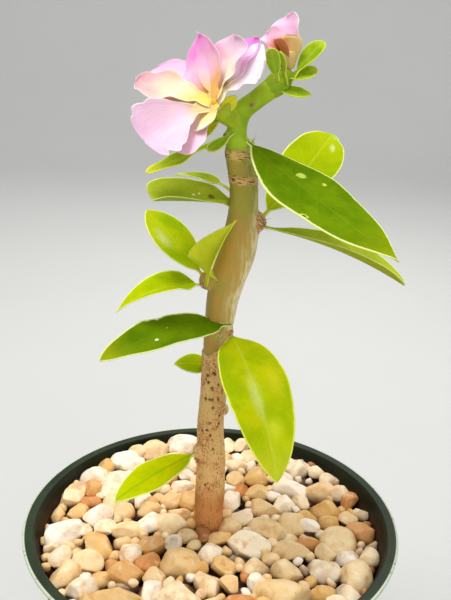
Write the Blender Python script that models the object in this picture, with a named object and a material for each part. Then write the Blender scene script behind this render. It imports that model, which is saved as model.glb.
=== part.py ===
"""A potted leaf cactus with two pink blooms, in a six inch nursery pot topped with pebbles.

All sizes and places below are in millimetres and degrees, and turn to metres when a mesh is made.
The origin is the centre of the pot's underside. +Z is up, and the plant's front looks along -Y.
"""
import math
import random
from typing import NamedTuple

import bmesh
import bpy
from mathutils import Vector

MM = 0.001
GAP = 0.3                     # what a piece keeps to the piece that carries it

# Pot: a round nursery pot of 6 inches, whose thin lip turns outwards
POT_HEIGHT = 110.0
RIM_RADIUS = 75.0
BASE_RADIUS = 52.0
SHOULDER = 98.5               # above this height the wall flares towards the lip
SHOULDER_RADIUS = 69.0
NECK = 105.5                  # where the wall meets the lip
NECK_RADIUS = 71.4
WALL = 1.4
FLOOR_THICKNESS = 2.0
FOOT_BEVEL = 1.5
LIP_UNDER = (72.0, 107.6)     # radius and height of the hollow under the lip
LIP_INNER = (71.2, 70.4)      # radius of the lip's flat top, and of the wall right under it
LIP_ROUND = 0.8               # height of the rounding between the two
LIP_BEAD = 0.4                # the bead round the very edge of the lip
LIP_LOW = 1.4
LIP_HIGH = 0.3
POT_SEGMENTS = 40
DRAIN_COUNT = 8
DRAIN_RADIUS = 5.0
DRAIN_CIRCLE = 40.0
DRAIN_SIDES = 10

# Fill: potting soil, then the bed of pebbles
SOIL_TOP = 88.0
BED_TOP = SHOULDER            # the shaded floor between the pebbles
BED_SLOPE = 0.01              # the bed is higher on its -X side, by this much for each mm
BED_BANK = 0.075              # and banked up behind the stem, for each mm along +Y
BED_HEAP = 1.5                # and higher round the stem
PEBBLE_LEVEL = 104.5          # mean height of the pebbles' tops before slope and heap
FILL_SEGMENTS = 40
STEM_HOLE_CLEARANCE = 0.5
STEM_HOLE_SIDES = 20
STEM_HOLE_REACH = 8.0         # the hole is as wide as the stem is up to this far over the pebbles

# Pebbles laid by hand: x, y, half length, half width, turn, rise above the level
FEATURE_PEBBLES = (
    (-15.0, 61.0, 8.5, 6.5, 0.0, 2.0),
    (-29.0, 55.0, 6.5, 6.0, 60.0, 2.0),
    (-36.5, 53.0, 4.5, 4.2, 0.0, 1.0),
    (-40.0, 46.0, 9.5, 6.5, 10.0, 1.5),
    (-50.0, 41.0, 5.5, 3.8, 100.0, 1.0),
    (-54.0, 32.5, 6.5, 5.5, 40.0, 1.5),
    (-61.0, 18.5, 8.0, 5.0, 62.0, 2.0),
    (-53.0, 25.0, 6.0, 5.5, 0.0, 1.0),
    (-53.5, 16.5, 5.2, 3.2, 0.0, -1.0),
    (-44.0, 28.0, 10.0, 5.5, 75.0, 1.0),
    (-57.0, 9.0, 5.5, 4.5, 20.0, -0.5),
    (-60.0, -5.0, 9.5, 7.0, 55.0, 2.0),
    (-47.0, 6.0, 7.0, 5.8, 45.0, 1.5),
    (-44.0, -12.0, 7.8, 6.2, -45.0, 1.0),
    (-58.0, -20.0, 5.0, 4.2, 70.0, 0.5),
    (-47.0, -23.0, 6.2, 5.5, 0.0, 1.0),
    (-54.0, -30.0, 8.0, 5.2, 75.0, 0.5),
    (-46.0, -38.0, 5.8, 5.0, 40.0, 0.5),
    (-31.0, -28.0, 7.0, 5.5, 0.0, 1.0),
    (-32.0, -42.0, 9.0, 6.5, 0.0, 1.0),
    (-21.0, -38.0, 5.5, 4.0, 80.0, 0.5),
    (-10.0, -40.0, 8.0, 6.5, 10.0, 1.0),
    (-37.0, 10.0, 5.5, 4.5, 80.0, 0.5),
    (-27.0, 11.0, 5.5, 5.0, 0.0, 0.5),
    (-34.0, -2.0, 6.8, 4.6, 0.0, 0.5),
    (-18.0, 18.0, 4.5, 4.2, 0.0, 0.0),
    (-13.0, 28.0, 5.2, 4.4, 0.0, 0.5),
    (-16.0, 2.0, 8.2, 5.8, -15.0, 1.0),
    (-23.0, -12.0, 5.4, 4.8, -30.0, 0.5),
    (-31.0, -17.0, 5.8, 4.2, 95.0, 0.5),
    (-12.0, -22.0, 9.2, 8.0, -20.0, 1.5),
    (6.0, 60.0, 5.6, 3.6, 100.0, 1.5),
    (13.0, 61.0, 5.6, 3.6, 70.0, 1.5),
    (17.0, 53.0, 5.0, 4.2, -30.0, 0.5),
    (10.0, 46.0, 5.8, 4.4, 0.0, 0.5),
    (10.0, 35.0, 4.8, 3.8, 90.0, 0.0),
    (20.0, 38.0, 6.4, 5.8, 45.0, 1.0),
    (9.0, 19.0, 7.2, 4.6, 85.0, 1.0),
    (20.0, 26.0, 6.0, 4.4, 10.0, 0.0),
    (22.0, 15.0, 7.6, 5.0, -10.0, 0.5),
    (35.0, 30.0, 8.2, 6.6, -25.0, 1.0),
    (40.0, 45.0, 6.6, 5.6, 20.0, 1.5),
    (48.0, 31.0, 7.4, 6.6, 30.0, 1.0),
    (48.0, 43.0, 4.4, 3.4, 10.0, 0.5),
    (53.0, 37.5, 4.4, 3.4, 0.0, 0.5),
    (57.0, 28.0, 5.4, 4.8, 20.0, 0.5),
    (60.0, 22.0, 6.4, 3.8, 65.0, 0.5),
    (49.0, 16.0, 6.8, 6.0, 0.0, 1.0),
    (64.0, 14.5, 3.6, 3.2, 0.0, 0.0),
    (58.0, 11.0, 4.2, 4.0, 0.0, 0.0),
    (62.0, 3.0, 6.4, 5.6, 0.0, 0.5),
    (52.0, -4.0, 9.0, 7.4, 75.0, 1.5),
    (34.0, 6.0, 7.2, 5.6, 85.0, 1.0),
    (41.0, 4.0, 4.6, 3.2, -40.0, 0.5),
    (40.0, -6.0, 4.6, 3.8, 0.0, 0.0),
    (23.0, 1.0, 8.4, 5.6, -30.0, 1.0),
    (14.0, -9.0, 9.8, 6.4, -12.0, 1.5),
    (8.0, 2.0, 5.2, 4.6, 20.0, 0.0),
    (32.0, -12.0, 7.6, 4.8, -10.0, 0.5),
    (5.0, -23.0, 5.2, 4.6, 0.0, 0.5),
    (18.0, -23.0, 6.0, 5.0, 20.0, 0.0),
    (30.0, -24.0, 6.8, 6.0, -20.0, 0.5),
    (44.0, -22.0, 6.8, 6.0, 0.0, 0.5),
    (56.0, -25.0, 9.0, 6.0, 75.0, 1.0),
    (63.0, -13.0, 5.4, 4.2, 100.0, 0.5),
    (28.0, -38.0, 11.5, 7.5, -15.0, 1.5),
    (42.0, -34.0, 5.2, 4.8, 30.0, 0.0),
    (8.0, -33.0, 4.4, 3.6, 0.0, 0.0),
    (-3.0, -4.5, 3.8, 3.6, 0.0, 0.5),
    (-9.5, -6.0, 4.0, 3.4, 0.0, 0.0),
)
PEBBLE_SEED = 19
PEBBLE_SIZES = ((6.6, 200), (5.6, 900), (4.6, 2500))   # half size, tries
PEBBLE_SPREAD = 0.12          # how much a half size varies either way
PEBBLE_SPACING = 0.8         # below 1 the pebbles press into each other
PEBBLE_LONG = 1.2
PEBBLE_WIDE = 0.9
PEBBLE_TALL = 0.74
PEBBLE_ROUGH = 0.13           # how far a pebble's corners stray, of its half size
PEBBLE_TILT = 16.0
PEBBLE_LIFT = (-1.6, 1.0)     # how far a pebble's top strays from the level
FEATURE_TALL = 0.85           # half height of a large pebble, of its half width
FEATURE_TILT = 6.0
STEM_CLEARANCE = 0.7          # how near the stem a pebble's centre comes, in its half sizes
COARSE_GROW = 1.12            # makes up for what a ball of few faces lacks in size
PEBBLE_WALL_CLEARANCE = 0.8
FINE_PEBBLE = 8.5             # pebbles of this half size and up get the finer ball

# Stem: x, y, height and radius from the root's end up to the second bloom
STEM_PATH = (
    (-1.5, 5.0, 52.0, 1.6),
    (-1.5, 5.0, 70.0, 3.6),
    (-1.5, 5.0, 92.0, 5.0),
    (-1.3, 5.0, 108.0, 5.5),
    (-0.9, 5.0, 122.0, 5.4),
    (-1.0, 5.0, 136.0, 5.2),
    (-1.5, 4.5, 148.0, 4.7),
    (-0.8, 4.0, 163.0, 4.5),
    (-0.6, 4.0, 176.0, 4.6),
    (-0.1, 3.5, 186.0, 4.9),
    (0.9, 3.0, 194.0, 5.6),
    (2.0, 3.0, 203.0, 6.1),
    (3.6, 2.5, 212.0, 6.2),
    (6.0, 2.5, 220.0, 6.0),
    (7.6, 2.5, 229.0, 5.9),
    (8.3, 2.0, 238.0, 5.3),
    (8.0, 2.0, 246.0, 5.1),
    (6.4, 2.0, 252.5, 4.7),
    (5.3, 2.0, 257.5, 4.4),
    (5.1, 2.0, 260.0, 3.6),
    (5.0, 2.0, 265.5, 3.5),
    (6.4, 2.0, 270.5, 3.6),
    (11.0, 2.0, 274.5, 3.3),
    (16.0, 2.0, 278.5, 3.6),
)
STEM_SIDES = 10
STEM_STEP = 7.0
RIDGE_DEPTH = 0.03            # shallow corky ridges, of the radius
RIDGE_COUNT = 5
RIDGE_DRIFT = 0.7             # how far the ridges turn from ring to ring, in radians


class Bump(NamedTuple):
    """An areole or a knot: a rounded swelling on the stem, with its spines."""
    at: tuple
    half: tuple
    spines: tuple = ()        # compass angle, rise and length of each spine


BUMPS = (
    Bump((-5.2, 2.2, 138.0), (2.6, 2.6, 3.4), ((200.0, 50.0, 4.0), (240.0, 10.0, 3.5))),
    Bump((3.6, 2.0, 157.0), (1.3, 1.3, 1.8)),
    Bump((-2.6, 6.5, 173.0), (2.4, 2.4, 2.8)),
    Bump((3.4, -0.8, 191.0), (3.0, 2.6, 4.2), ((-82.0, 8.0, 4.0), (-112.0, -35.0, 3.5))),
    Bump((-3.6, 0.6, 210.0), (3.6, 3.8, 3.8), ((-60.0, 15.0, 6.0), (-85.0, -15.0, 5.0))),
    Bump((13.0, 2.4, 232.0), (3.6, 3.2, 4.2), ((20.0, -35.0, 4.5), (-30.0, 20.0, 4.0))),
    Bump((5.6, 5.0, 240.0), (2.6, 2.6, 2.6)),
    Bump((7.4, 1.4, 260.0), (2.7, 2.5, 2.4), ((30.0, 44.0, 9.0),)),
    Bump((2.2, 0.6, 262.5), (1.8, 1.6, 2.2), ((200.0, 40.0, 3.5),)),
    Bump((10.4, -0.4, 272.6), (1.8, 1.4, 1.6)),
)
SPINE_RADIUS = 0.45
SPINE_SIDES = 4
SPINE_SUNK = 0.3              # where a spine starts, as a share of its areole's half size
FINE_BUMP = 2.5               # an areole whose smallest half size is above this is rounder


class Blade(NamedTuple):
    """A leaf, bract or petal: where it starts, the way it points and its outline.

    The compass angle runs from +X towards +Y, and the rise from level to straight up. Droop, swing
    and twist are how far rise, compass angle and roll have changed at the tip. Taper sets the
    outline: a small first value makes a full base, and a small second one a blunt tip.
    """
    base: tuple
    compass: float
    rise: float
    length: float
    width: float
    droop: float = 0.0
    swing: float = 0.0
    roll: float = 0.0
    twist: float = 0.0
    fold: float = 10.0
    taper: tuple = (0.8, 0.8)
    stalk: float = 0.08       # the share of the length that is a bare stalk
    root: float = 2.5         # how far it reaches back into what carries it
    wave: float = 0.0         # height of the margin's waves
    waves: float = 2.5        # how many waves one margin has


LEAVES = {
    "leaf_low_left": Blade((-6.5, 1.0, 138.0), 217, -6, 38.5, 16.0, 13, 3, 4, 1, 8, (0.75, 0.8),
                           wave=0.3),
    "leaf_behind_bark": Blade((-1.6, 8.0, 173.0), 186, 8, 15.0, 12.5, 10, 2, 14, 1, 4, (0.65, 0.95)),
    "leaf_long_left": Blade((3.0, -3.0, 194.0), 198, 3, 48.5, 19.0, 24, 12, 11, 6, 12, (0.55, 0.75),
                            stalk=0.03, wave=0.3),
    "leaf_hanging_front": Blade((5.6, -2.0, 189.0), -68, -15, 59.0, 24.5, 48, 0, -7, 6, 16,
                                (0.55, 0.75), stalk=0.02, wave=0.4),
    "leaf_drooping_left": Blade((-5.6, -0.8, 208.6), 184, 3, 34.5, 19.0, 44, -3, 9, -1, 20,
                                (0.6, 1.0)),
    "leaf_rising_left": Blade((-5.8, 3.2, 211.0), 159, 46, 32.0, 20.5, 4, 4, 10, 5, 7, (0.8, 0.75)),
    "leaf_folded_front": Blade((-4.0, -3.6, 211.5), -29, 79, 26.0, 18.5, 28, 3, -68, 3, 42,
                               (0.35, 1.5)),
    "leaf_right_behind": Blade((15.2, 3.6, 233.6), 45, 32, 53.5, 22.5, 5, 16, -12, -18, 6,
                               (0.65, 0.5), wave=0.4),
    "leaf_right_edge_on": Blade((16.0, 1.2, 230.6), -15, -6, 54.0, 18.0, 21, -7, -11, 24, 25,
                                (1.1, 0.62), stalk=0.02),
    "leaf_upper_left": Blade((4.4, 6.0, 238.6), 199, 5, 31.0, 21.5, 2, 14, 27, -21, 27,
                             (0.52, 0.2), stalk=0.02),
    "leaf_upper_back": Blade((4.6, 7.2, 241.4), 156, 34, 24.0, 6.2, 44, 8, 12, 0, 10, (0.22, 0.75),
                             stalk=0.3),
    "leaf_dark_right": Blade((9.0, -0.4, 260.6), -48, -25, 71.5, 28.0, -4, 2, -10, 8, -1,
                             (0.95, 1.0), stalk=0.02, wave=0.4),
    "leaf_under_bloom": Blade((1.4, 0.6, 261.8), 190, -24, 30.5, 13.5, -2, 10, -13, 27, 5,
                              (0.86, 0.89), stalk=0.05, wave=0.4),
    "shoot_leaf_low": Blade((2.4, -1.8, 262.8), 220, -31, 10.6, 4.8, -9, 7, 19, 9, 10,
                            (0.65, 0.42), stalk=0.02, root=2.0),
}
PALE_LEAVES = ("leaf_rising_left", "leaf_folded_front", "leaf_hanging_front", "leaf_right_behind",
               "leaf_drooping_left", "leaf_low_left", "leaf_behind_bark")
DARK_LEAVES = ("leaf_dark_right", "leaf_long_left")

# Main bloom: petals from the throat, on a green cup with its bracts
THROAT = (-2.7, -8.0, 274.0)
BEHIND_THROAT = (-2.2, -7.4, 273.7)
MAIN_PETALS = (
    Blade(THROAT, -163, -19, 28.1, 23.6, 17, 23, 40, 14, 25, (1.24, 0.37), wave=0.4),
    Blade(THROAT, 169, 15.4, 28.9, 14.5, 10, -12, 35, 1, 14, (0.95, 0.57), wave=0.8),
    Blade(THROAT, 120, 48.4, 28.8, 17.8, -2, -18, 56, 14, 18, (0.63, 1.01), wave=0.6),
    Blade(THROAT, 31, 62, 22.6, 17.8, -20, 17, 22, -13, 5, (1.0, 0.48), wave=0.8),
    Blade(THROAT, -10, 49.6, 21.9, 16.6, 22, -17, -38, -12, 5, (0.9, 0.18), wave=0.7),
    Blade(THROAT, -123, -45.5, 12.9, 13.8, -3, -11, -12, -6, 10, (0.57, 0.43)),
    Blade(BEHIND_THROAT, 143, 29, 30.0, 22.6, 24, -2, 33, -8, 15, (0.64, 0.46), wave=0.5),
    Blade(BEHIND_THROAT, 26, 58.7, 24.7, 15.6, 2, 2, 1, -4, 3, (0.6, 0.25), wave=0.5),
    Blade(BEHIND_THROAT, 92, 61.5, 17.7, 12.6, 5, 7, -2, -1, 7, (0.55, 0.5)),
)
MAIN_CORE = (
    (-2.0, -7.2, 273.5, 1.8),
    (-2.9, -8.1, 274.1, 2.0),
    (-3.6, -8.8, 274.6, 1.0),
)
CUP_PATH = (
    (5.0, 1.6, 266.6, 2.6),
    (2.6, -1.4, 268.8, 3.2),
    (-0.2, -5.0, 271.8, 4.2),
    (-1.1, -6.2, 272.7, 3.2),
)
CUP_BRACTS = (
    Blade((-1.0, -7.6, 270.2), 10, 48, 8.1, 4.4, -1, 0, -74, 1, 12, (0.7, 0.75), root=0.8),
    Blade((-0.6, -3.4, 269.0), 215, -35, 11.0, 6.5, 10, 0, 10, 0, 14, (0.8, 0.5)),
    Blade((-0.6, -4.0, 270.0), 180, -15, 10.0, 5.0, 20, 0, 0, 0, 10, (0.8, 0.6)),
    Blade((1.8, -2.4, 270.4), 80, 40, 7.0, 5.0, 10, 0, 0, 0, 10, (0.8, 0.5)),
)

# Second bloom, seen from its side on the end of the shoot
SECOND_BASE = (22.1, 2.4, 285.2)
SECOND_PETALS = (
    Blade(SECOND_BASE, 96, 66, 19.0, 12.0, 6, 8, 43, 11, 22, (0.6, 0.3), wave=0.5),
    Blade(SECOND_BASE, 157, 61.5, 14.4, 11.5, 30, 6, 25, 8, 18, (0.64, 0.2), wave=0.5),
    Blade(SECOND_BASE, -165, 62, 13.5, 12.5, 10, 0, 0, 0, 20, (0.55, 0.25)),
    Blade(SECOND_BASE, -110, 76, 13.5, 12.0, 0, 0, 0, 0, 22, (0.55, 0.25)),
    Blade(SECOND_BASE, 50, 85, 14.0, 10.0, -4, 0, 0, 0, 20, (0.55, 0.3)),
)
SECOND_CORE = (
    (22.6, 2.5, 285.2, 1.0),
    (22.2, 2.4, 286.4, 1.9),
    (21.6, 2.4, 288.6, 3.0),
    (20.8, 2.4, 291.6, 3.6),
)
SECOND_CUP_PATH = (
    (15.0, 2.0, 277.7, 3.2),
    (17.5, 2.0, 279.6, 3.9),
    (19.8, 2.1, 281.6, 3.7),
    (21.4, 2.2, 283.2, 2.8),
    (22.2, 2.4, 284.4, 1.7),
)
SECOND_BRACTS = (
    Blade((23.9, -0.4, 283.4), 11, 58, 14.3, 8.8, 19, 2, -22, -1, 13, (0.88, 0.51), root=3.0),
    Blade((21.0, 0.2, 282.2), -1, 12, 10.7, 6.9, -10, 0, -33, -2, 10, (0.74, 0.48)),
    Blade((18.4, 0.2, 278.6), -3, -10, 11.3, 6.7, -5, 0, -30, 3, 9, (0.58, 0.64)),
    Blade((17.8, -1.4, 281.6), -150, 73, 10.3, 5.0, 2, 0, -50, 0, 11, (0.8, 0.41)),
    Blade((20.5, -1.8, 282.6), -150, 74, 8.5, 4.0, 5, 0, 0, 0, 14, (0.8, 0.6)),
)

LEAF_THICKNESS = 0.7
PETAL_THICKNESS = 0.6
PETAL_RING = 2.0              # a petal starts this far out from its bloom's middle
PETAL_ROOT = 1.2
SMALL_LEAF = 16.0             # a leaf shorter than this gets fewer rows
LEAF_GRID = (10, 4)           # rows along a blade and across it
SMALL_GRID = (6, 2)
PETAL_GRID = (6, 4)
CUP_SIDES = 12
CORE_SIDES = 10
CUP_STEP = 2.0
TIP_CROWDING = 1.6            # above 1 a blade's rows lie closer towards its tip
MIN_STALK = 0.9               # half width of a stalk where it starts
MIN_TIP = 0.35                # half width of a blade at its very tip
FOLD_SHARE = 0.15             # the share of a blade's length over which its fold opens
WAVE_SHIFT = 1.3              # how far the waves of a blade's two margins are apart, in radians


def clear_scene():
    """Remove every object of the scene."""
    for obj in list(bpy.data.objects):
        bpy.data.objects.remove(obj, do_unlink=True)


def material(name, color, roughness, metallic=0.0):
    """Make a plain Principled material."""
    mat = bpy.data.materials.new(name)
    mat.use_nodes = True
    shader = mat.node_tree.nodes["Principled BSDF"]
    shader.inputs["Base Color"].default_value = (*color, 1.0)
    shader.inputs["Roughness"].default_value = roughness
    shader.inputs["Metallic"].default_value = metallic
    mat.diffuse_color = (*color, 1.0)
    return mat


def pot_material():
    """Dark green moulded plastic."""
    return material("pot_green_plastic", (0.035, 0.085, 0.035), 0.45)


def soil_material():
    """Dark, damp potting soil."""
    return material("potting_soil", (0.05, 0.025, 0.012), 0.95)


def pebble_material():
    """Cream and tan river gravel."""
    return material("cream_gravel", (0.78, 0.62, 0.40), 0.6)


def stem_material():
    """Olive brown bark."""
    return material("olive_bark", (0.36, 0.27, 0.10), 0.75)


def leaf_material(name, color):
    """A glossy leaf of one green."""
    return material(name, color, 0.35)


def petal_material(name, color):
    """A soft petal."""
    return material(name, color, 0.55)


def new_object(name, verts, faces, mat, smooth_angle=None):
    """Make a closed mesh object from points in millimetres."""
    mesh = bpy.data.meshes.new(name)
    mesh.from_pydata([Vector(v) * MM for v in verts], [], faces)
    bm = bmesh.new()
    bm.from_mesh(mesh)
    bmesh.ops.recalc_face_normals(bm, faces=bm.faces)
    bm.to_mesh(mesh)
    bm.free()
    if smooth_angle is not None:
        mesh.shade_smooth()
        mesh.set_sharp_from_angle(angle=math.radians(smooth_angle))
    if mat is not None:
        mesh.materials.append(mat)
    obj = bpy.data.objects.new(name, mesh)
    bpy.context.scene.collection.objects.link(obj)
    return obj


def hide_guide(obj):
    """Mark a cutter, so that it isn't part of the object."""
    obj.hide_render = True
    obj.display_type = "WIRE"


def apply_modifiers(obj):
    """Replace the object's mesh by what its modifiers make of it."""
    depsgraph = bpy.context.evaluated_depsgraph_get()
    mesh = bpy.data.meshes.new_from_object(obj.evaluated_get(depsgraph), depsgraph=depsgraph)
    obj.modifiers.clear()
    obj.data = mesh


def union_all(first, others, solver="EXACT"):
    """Join closed bodies with the first one, by one Boolean on a collection."""
    group = bpy.data.collections.new(first.name + "_union")
    for obj in others:
        group.objects.link(obj)
    modifier = first.modifiers.new("union", "BOOLEAN")
    modifier.operation = "UNION"
    modifier.operand_type = "COLLECTION"
    modifier.collection = group
    modifier.solver = solver
    apply_modifiers(first)
    for obj in others:
        bpy.data.objects.remove(obj, do_unlink=True)
    bpy.data.collections.remove(group)
    return first


def cut(obj, cutter, solver="EXACT"):
    """Take the cutter's volume away from an object."""
    modifier = obj.modifiers.new("cut", "BOOLEAN")
    modifier.operation = "DIFFERENCE"
    modifier.object = cutter
    modifier.solver = solver
    apply_modifiers(obj)


def drop_scraps(obj):
    """Keep only an object's largest connected surface, so that sealed hollows are filled too."""
    bm = bmesh.new()
    bm.from_mesh(obj.data)
    left, surfaces = set(bm.faces), []
    while left:
        surface, front = set(), [left.pop()]
        while front:
            face = front.pop()
            surface.add(face)
            for edge in face.edges:
                if len(edge.link_faces) != 2:
                    continue
                for other in edge.link_faces:
                    if other in left:
                        left.remove(other)
                        front.append(other)
        surfaces.append(surface)
    surfaces.sort(key=len)
    for surface in surfaces[:-1]:
        bmesh.ops.delete(bm, geom=list(surface), context="FACES")
    bm.to_mesh(obj.data)
    bm.free()


def revolve(name, profile, segments, mat, smooth_angle=35.0):
    """Turn a closed profile of (radius, height) points about the Z axis."""
    verts, faces = [], []
    count = len(profile)
    rings = []
    for radius, height in profile:
        if radius <= 0.0:
            verts.append((0.0, 0.0, height))
            rings.append([len(verts) - 1] * segments)
            continue
        ring = []
        for k in range(segments):
            angle = math.tau * k / segments
            ring.append(len(verts))
            verts.append((radius * math.cos(angle), radius * math.sin(angle), height))
        rings.append(ring)
    for i in range(count):
        lower, upper = rings[i], rings[(i + 1) % count]
        if lower[0] == lower[1] and upper[0] == upper[1]:
            continue
        for k in range(segments):
            after = (k + 1) % segments
            face = [lower[k], lower[after], upper[after], upper[k]]
            face = list(dict.fromkeys(face))
            faces.append(face)
    return new_object(name, verts, faces, mat, smooth_angle)


def outer_radius(height):
    """Outer radius of the pot's wall below the lip, at a height."""
    if height > SHOULDER:
        share = min((height - SHOULDER) / (NECK - SHOULDER), 1.0)
        return SHOULDER_RADIUS + (NECK_RADIUS - SHOULDER_RADIUS) * share
    return BASE_RADIUS + (SHOULDER_RADIUS - BASE_RADIUS) * height / SHOULDER


def make_pot():
    """The nursery pot with its lip turned outwards and drain holes round its flat base."""
    lip_top, lip_wall = LIP_INNER
    profile = [
        (0.0, 0.0),
        (BASE_RADIUS - FOOT_BEVEL, 0.0),
        (BASE_RADIUS, FOOT_BEVEL),
        (SHOULDER_RADIUS, SHOULDER),
        (NECK_RADIUS, NECK),
        LIP_UNDER,
        (RIM_RADIUS - LIP_BEAD, POT_HEIGHT - LIP_LOW),
        (RIM_RADIUS, POT_HEIGHT - LIP_LOW + LIP_BEAD),
        (RIM_RADIUS, POT_HEIGHT - LIP_HIGH),
        (RIM_RADIUS - LIP_HIGH, POT_HEIGHT),
        (lip_top, POT_HEIGHT),
        (lip_wall, POT_HEIGHT - LIP_ROUND),
        (NECK_RADIUS - WALL, NECK),
        (SHOULDER_RADIUS - WALL, SHOULDER),
        (outer_radius(FLOOR_THICKNESS) - WALL, FLOOR_THICKNESS),
        (0.0, FLOOR_THICKNESS),
    ]
    pot = revolve("pot", profile, POT_SEGMENTS, pot_material())
    for k in range(DRAIN_COUNT):
        angle = math.tau * (k + 0.5) / DRAIN_COUNT
        bpy.ops.mesh.primitive_cylinder_add(
            vertices=DRAIN_SIDES, radius=DRAIN_RADIUS * MM, depth=4.0 * FLOOR_THICKNESS * MM,
            location=(DRAIN_CIRCLE * MM * math.cos(angle), DRAIN_CIRCLE * MM * math.sin(angle),
                      FLOOR_THICKNESS / 2 * MM))
        drill = bpy.context.object
        drill.name = "drain_drill_%d" % k
        cut(pot, drill)
        bpy.data.objects.remove(drill, do_unlink=True)
    return pot


def inner_radius(height):
    """Inner radius of the pot at a height, in the middle of a facet."""
    return (outer_radius(height) - WALL) * math.cos(math.pi / POT_SEGMENTS)


def stem_hole(name, low, high):
    """The plain hole that the stem stands in, as a cutter."""
    x, y, _, _ = STEM_PATH[2]
    radius = max(r for _, _, z, r in STEM_PATH if z < PEBBLE_LEVEL + STEM_HOLE_REACH)
    radius = radius * (1.0 + RIDGE_DEPTH) + STEM_HOLE_CLEARANCE
    bpy.ops.mesh.primitive_cylinder_add(
        vertices=STEM_HOLE_SIDES, radius=radius * MM, depth=(high - low) * MM,
        location=(x * MM, y * MM, (low + high) / 2 * MM))
    cutter = bpy.context.object
    cutter.name = name
    hide_guide(cutter)
    return cutter


def make_soil():
    """Potting soil that fills the pot below the pebbles, with the stem's hole."""
    low = FLOOR_THICKNESS + GAP
    profile = [
        (0.0, low),
        (inner_radius(low) - 2.0 * GAP, low),
        (inner_radius(SOIL_TOP) - GAP * 1.5, SOIL_TOP),
        (0.0, SOIL_TOP),
    ]
    soil = revolve("potting_soil", profile, FILL_SEGMENTS, soil_material())
    cutter = stem_hole("soil_hole", STEM_PATH[0][2] - GAP, POT_HEIGHT)
    cut(soil, cutter)
    bpy.data.objects.remove(cutter, do_unlink=True)
    return soil


def bed_level(x, y):
    """Height of the pebbles' tops over the pot's base."""
    heap = 1.0 - (x * x + y * y) / RIM_RADIUS ** 2
    return PEBBLE_LEVEL - BED_SLOPE * x + BED_BANK * max(y, 0.0) + BED_HEAP * heap


class Pebble(NamedTuple):
    """One stone: centre, half sizes, turn and tilt in degrees, and its own seed."""
    centre: tuple
    half: tuple
    turn: float
    tilt: float
    seed: int


def pebble_places():
    """Lay the large pebbles by hand, then fill the gaps with ever smaller ones."""
    rng = random.Random(PEBBLE_SEED)
    spots, pebbles = [], []
    limit = inner_radius(PEBBLE_LEVEL) - PEBBLE_WALL_CLEARANCE
    stem_x, stem_y, _, stem_r = STEM_PATH[3]
    for x, y, long_half, wide_half, turn, rise in FEATURE_PEBBLES:
        size = math.sqrt(long_half * wide_half)
        tall = wide_half * FEATURE_TALL
        top = bed_level(x, y) + rise
        pebbles.append(Pebble((x, y, top - tall), (long_half, wide_half, tall), turn,
                              rng.uniform(-FEATURE_TILT, FEATURE_TILT), rng.randrange(10000)))
        spots.append((x, y, size))
    for size, tries in PEBBLE_SIZES:
        for _ in range(tries):
            half = size * rng.uniform(1.0 - PEBBLE_SPREAD, 1.0 + PEBBLE_SPREAD)
            reach = limit - half * PEBBLE_LONG
            radius = reach * math.sqrt(rng.random())
            angle = rng.uniform(0.0, math.tau)
            turn = rng.uniform(0.0, 180.0)
            tilt = rng.uniform(-PEBBLE_TILT, PEBBLE_TILT)
            lift = rng.uniform(*PEBBLE_LIFT)
            seed = rng.randrange(10000)
            x, y = radius * math.cos(angle), radius * math.sin(angle)
            if math.hypot(x - stem_x, y - stem_y) < stem_r + half * STEM_CLEARANCE:
                continue
            if any(math.hypot(x - px, y - py) < PEBBLE_SPACING * (half + ps)
                   for px, py, ps in spots):
                continue
            tall = half * PEBBLE_TALL
            centre = (x, y, bed_level(x, y) + lift - tall)
            pebbles.append(Pebble(centre, (half * PEBBLE_LONG, half * PEBBLE_WIDE, tall), turn,
                                  tilt, seed))
            spots.append((x, y, half))
    return pebbles


def make_pebble(pebble, name):
    """One stone: a strayed, stretched, tilted and turned ball, flat where it meets the wall."""
    rng = random.Random(pebble.seed)
    size = math.sqrt(pebble.half[0] * pebble.half[1])
    fine = size >= FINE_PEBBLE
    bm = bmesh.new()
    bmesh.ops.create_icosphere(bm, subdivisions=2 if fine else 1, radius=1.0)
    turn, tilt = math.radians(pebble.turn), math.radians(pebble.tilt)
    grow = 1.0 if fine else COARSE_GROW
    verts = []
    for vert in bm.verts:
        stray = grow * (1.0 + rng.uniform(-PEBBLE_ROUGH, PEBBLE_ROUGH))
        x, y, z = (c * h * stray for c, h in zip(vert.co, pebble.half))
        x, z = x * math.cos(tilt) - z * math.sin(tilt), x * math.sin(tilt) + z * math.cos(tilt)
        x, y = x * math.cos(turn) - y * math.sin(turn), x * math.sin(turn) + y * math.cos(turn)
        x, y, z = x + pebble.centre[0], y + pebble.centre[1], z + pebble.centre[2]
        pull = min((inner_radius(z) - PEBBLE_WALL_CLEARANCE) / math.hypot(x, y), 1.0)
        verts.append((x * pull, y * pull, z))
    faces = [[v.index for v in face.verts] for face in bm.faces]
    bm.free()
    return new_object(name, verts, faces, None)


def make_pebble_bed():
    """All the pebbles, fused where they sink into one thin bed, clear of pot and stem."""
    low = SOIL_TOP + GAP
    profile = [
        (0.0, low),
        (inner_radius(low) - GAP * 1.5, low),
        (inner_radius(BED_TOP) - GAP * 1.5, BED_TOP),
        (0.0, BED_TOP),
    ]
    bed = revolve("pebble_bed", profile, FILL_SEGMENTS, pebble_material())
    for vert in bed.data.vertices:
        if vert.co.z > (low + BED_TOP) / 2 * MM:
            vert.co.z += BED_BANK * max(vert.co.y, 0.0)
    stones = [make_pebble(p, "stone_%d" % i) for i, p in enumerate(pebble_places())]
    union_all(bed, stones, "MANIFOLD")
    cutter = stem_hole("bed_hole", SOIL_TOP - WALL, 2.0 * POT_HEIGHT)
    cut(bed, cutter, "MANIFOLD")
    bpy.data.objects.remove(cutter, do_unlink=True)
    drop_scraps(bed)
    return bed


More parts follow.
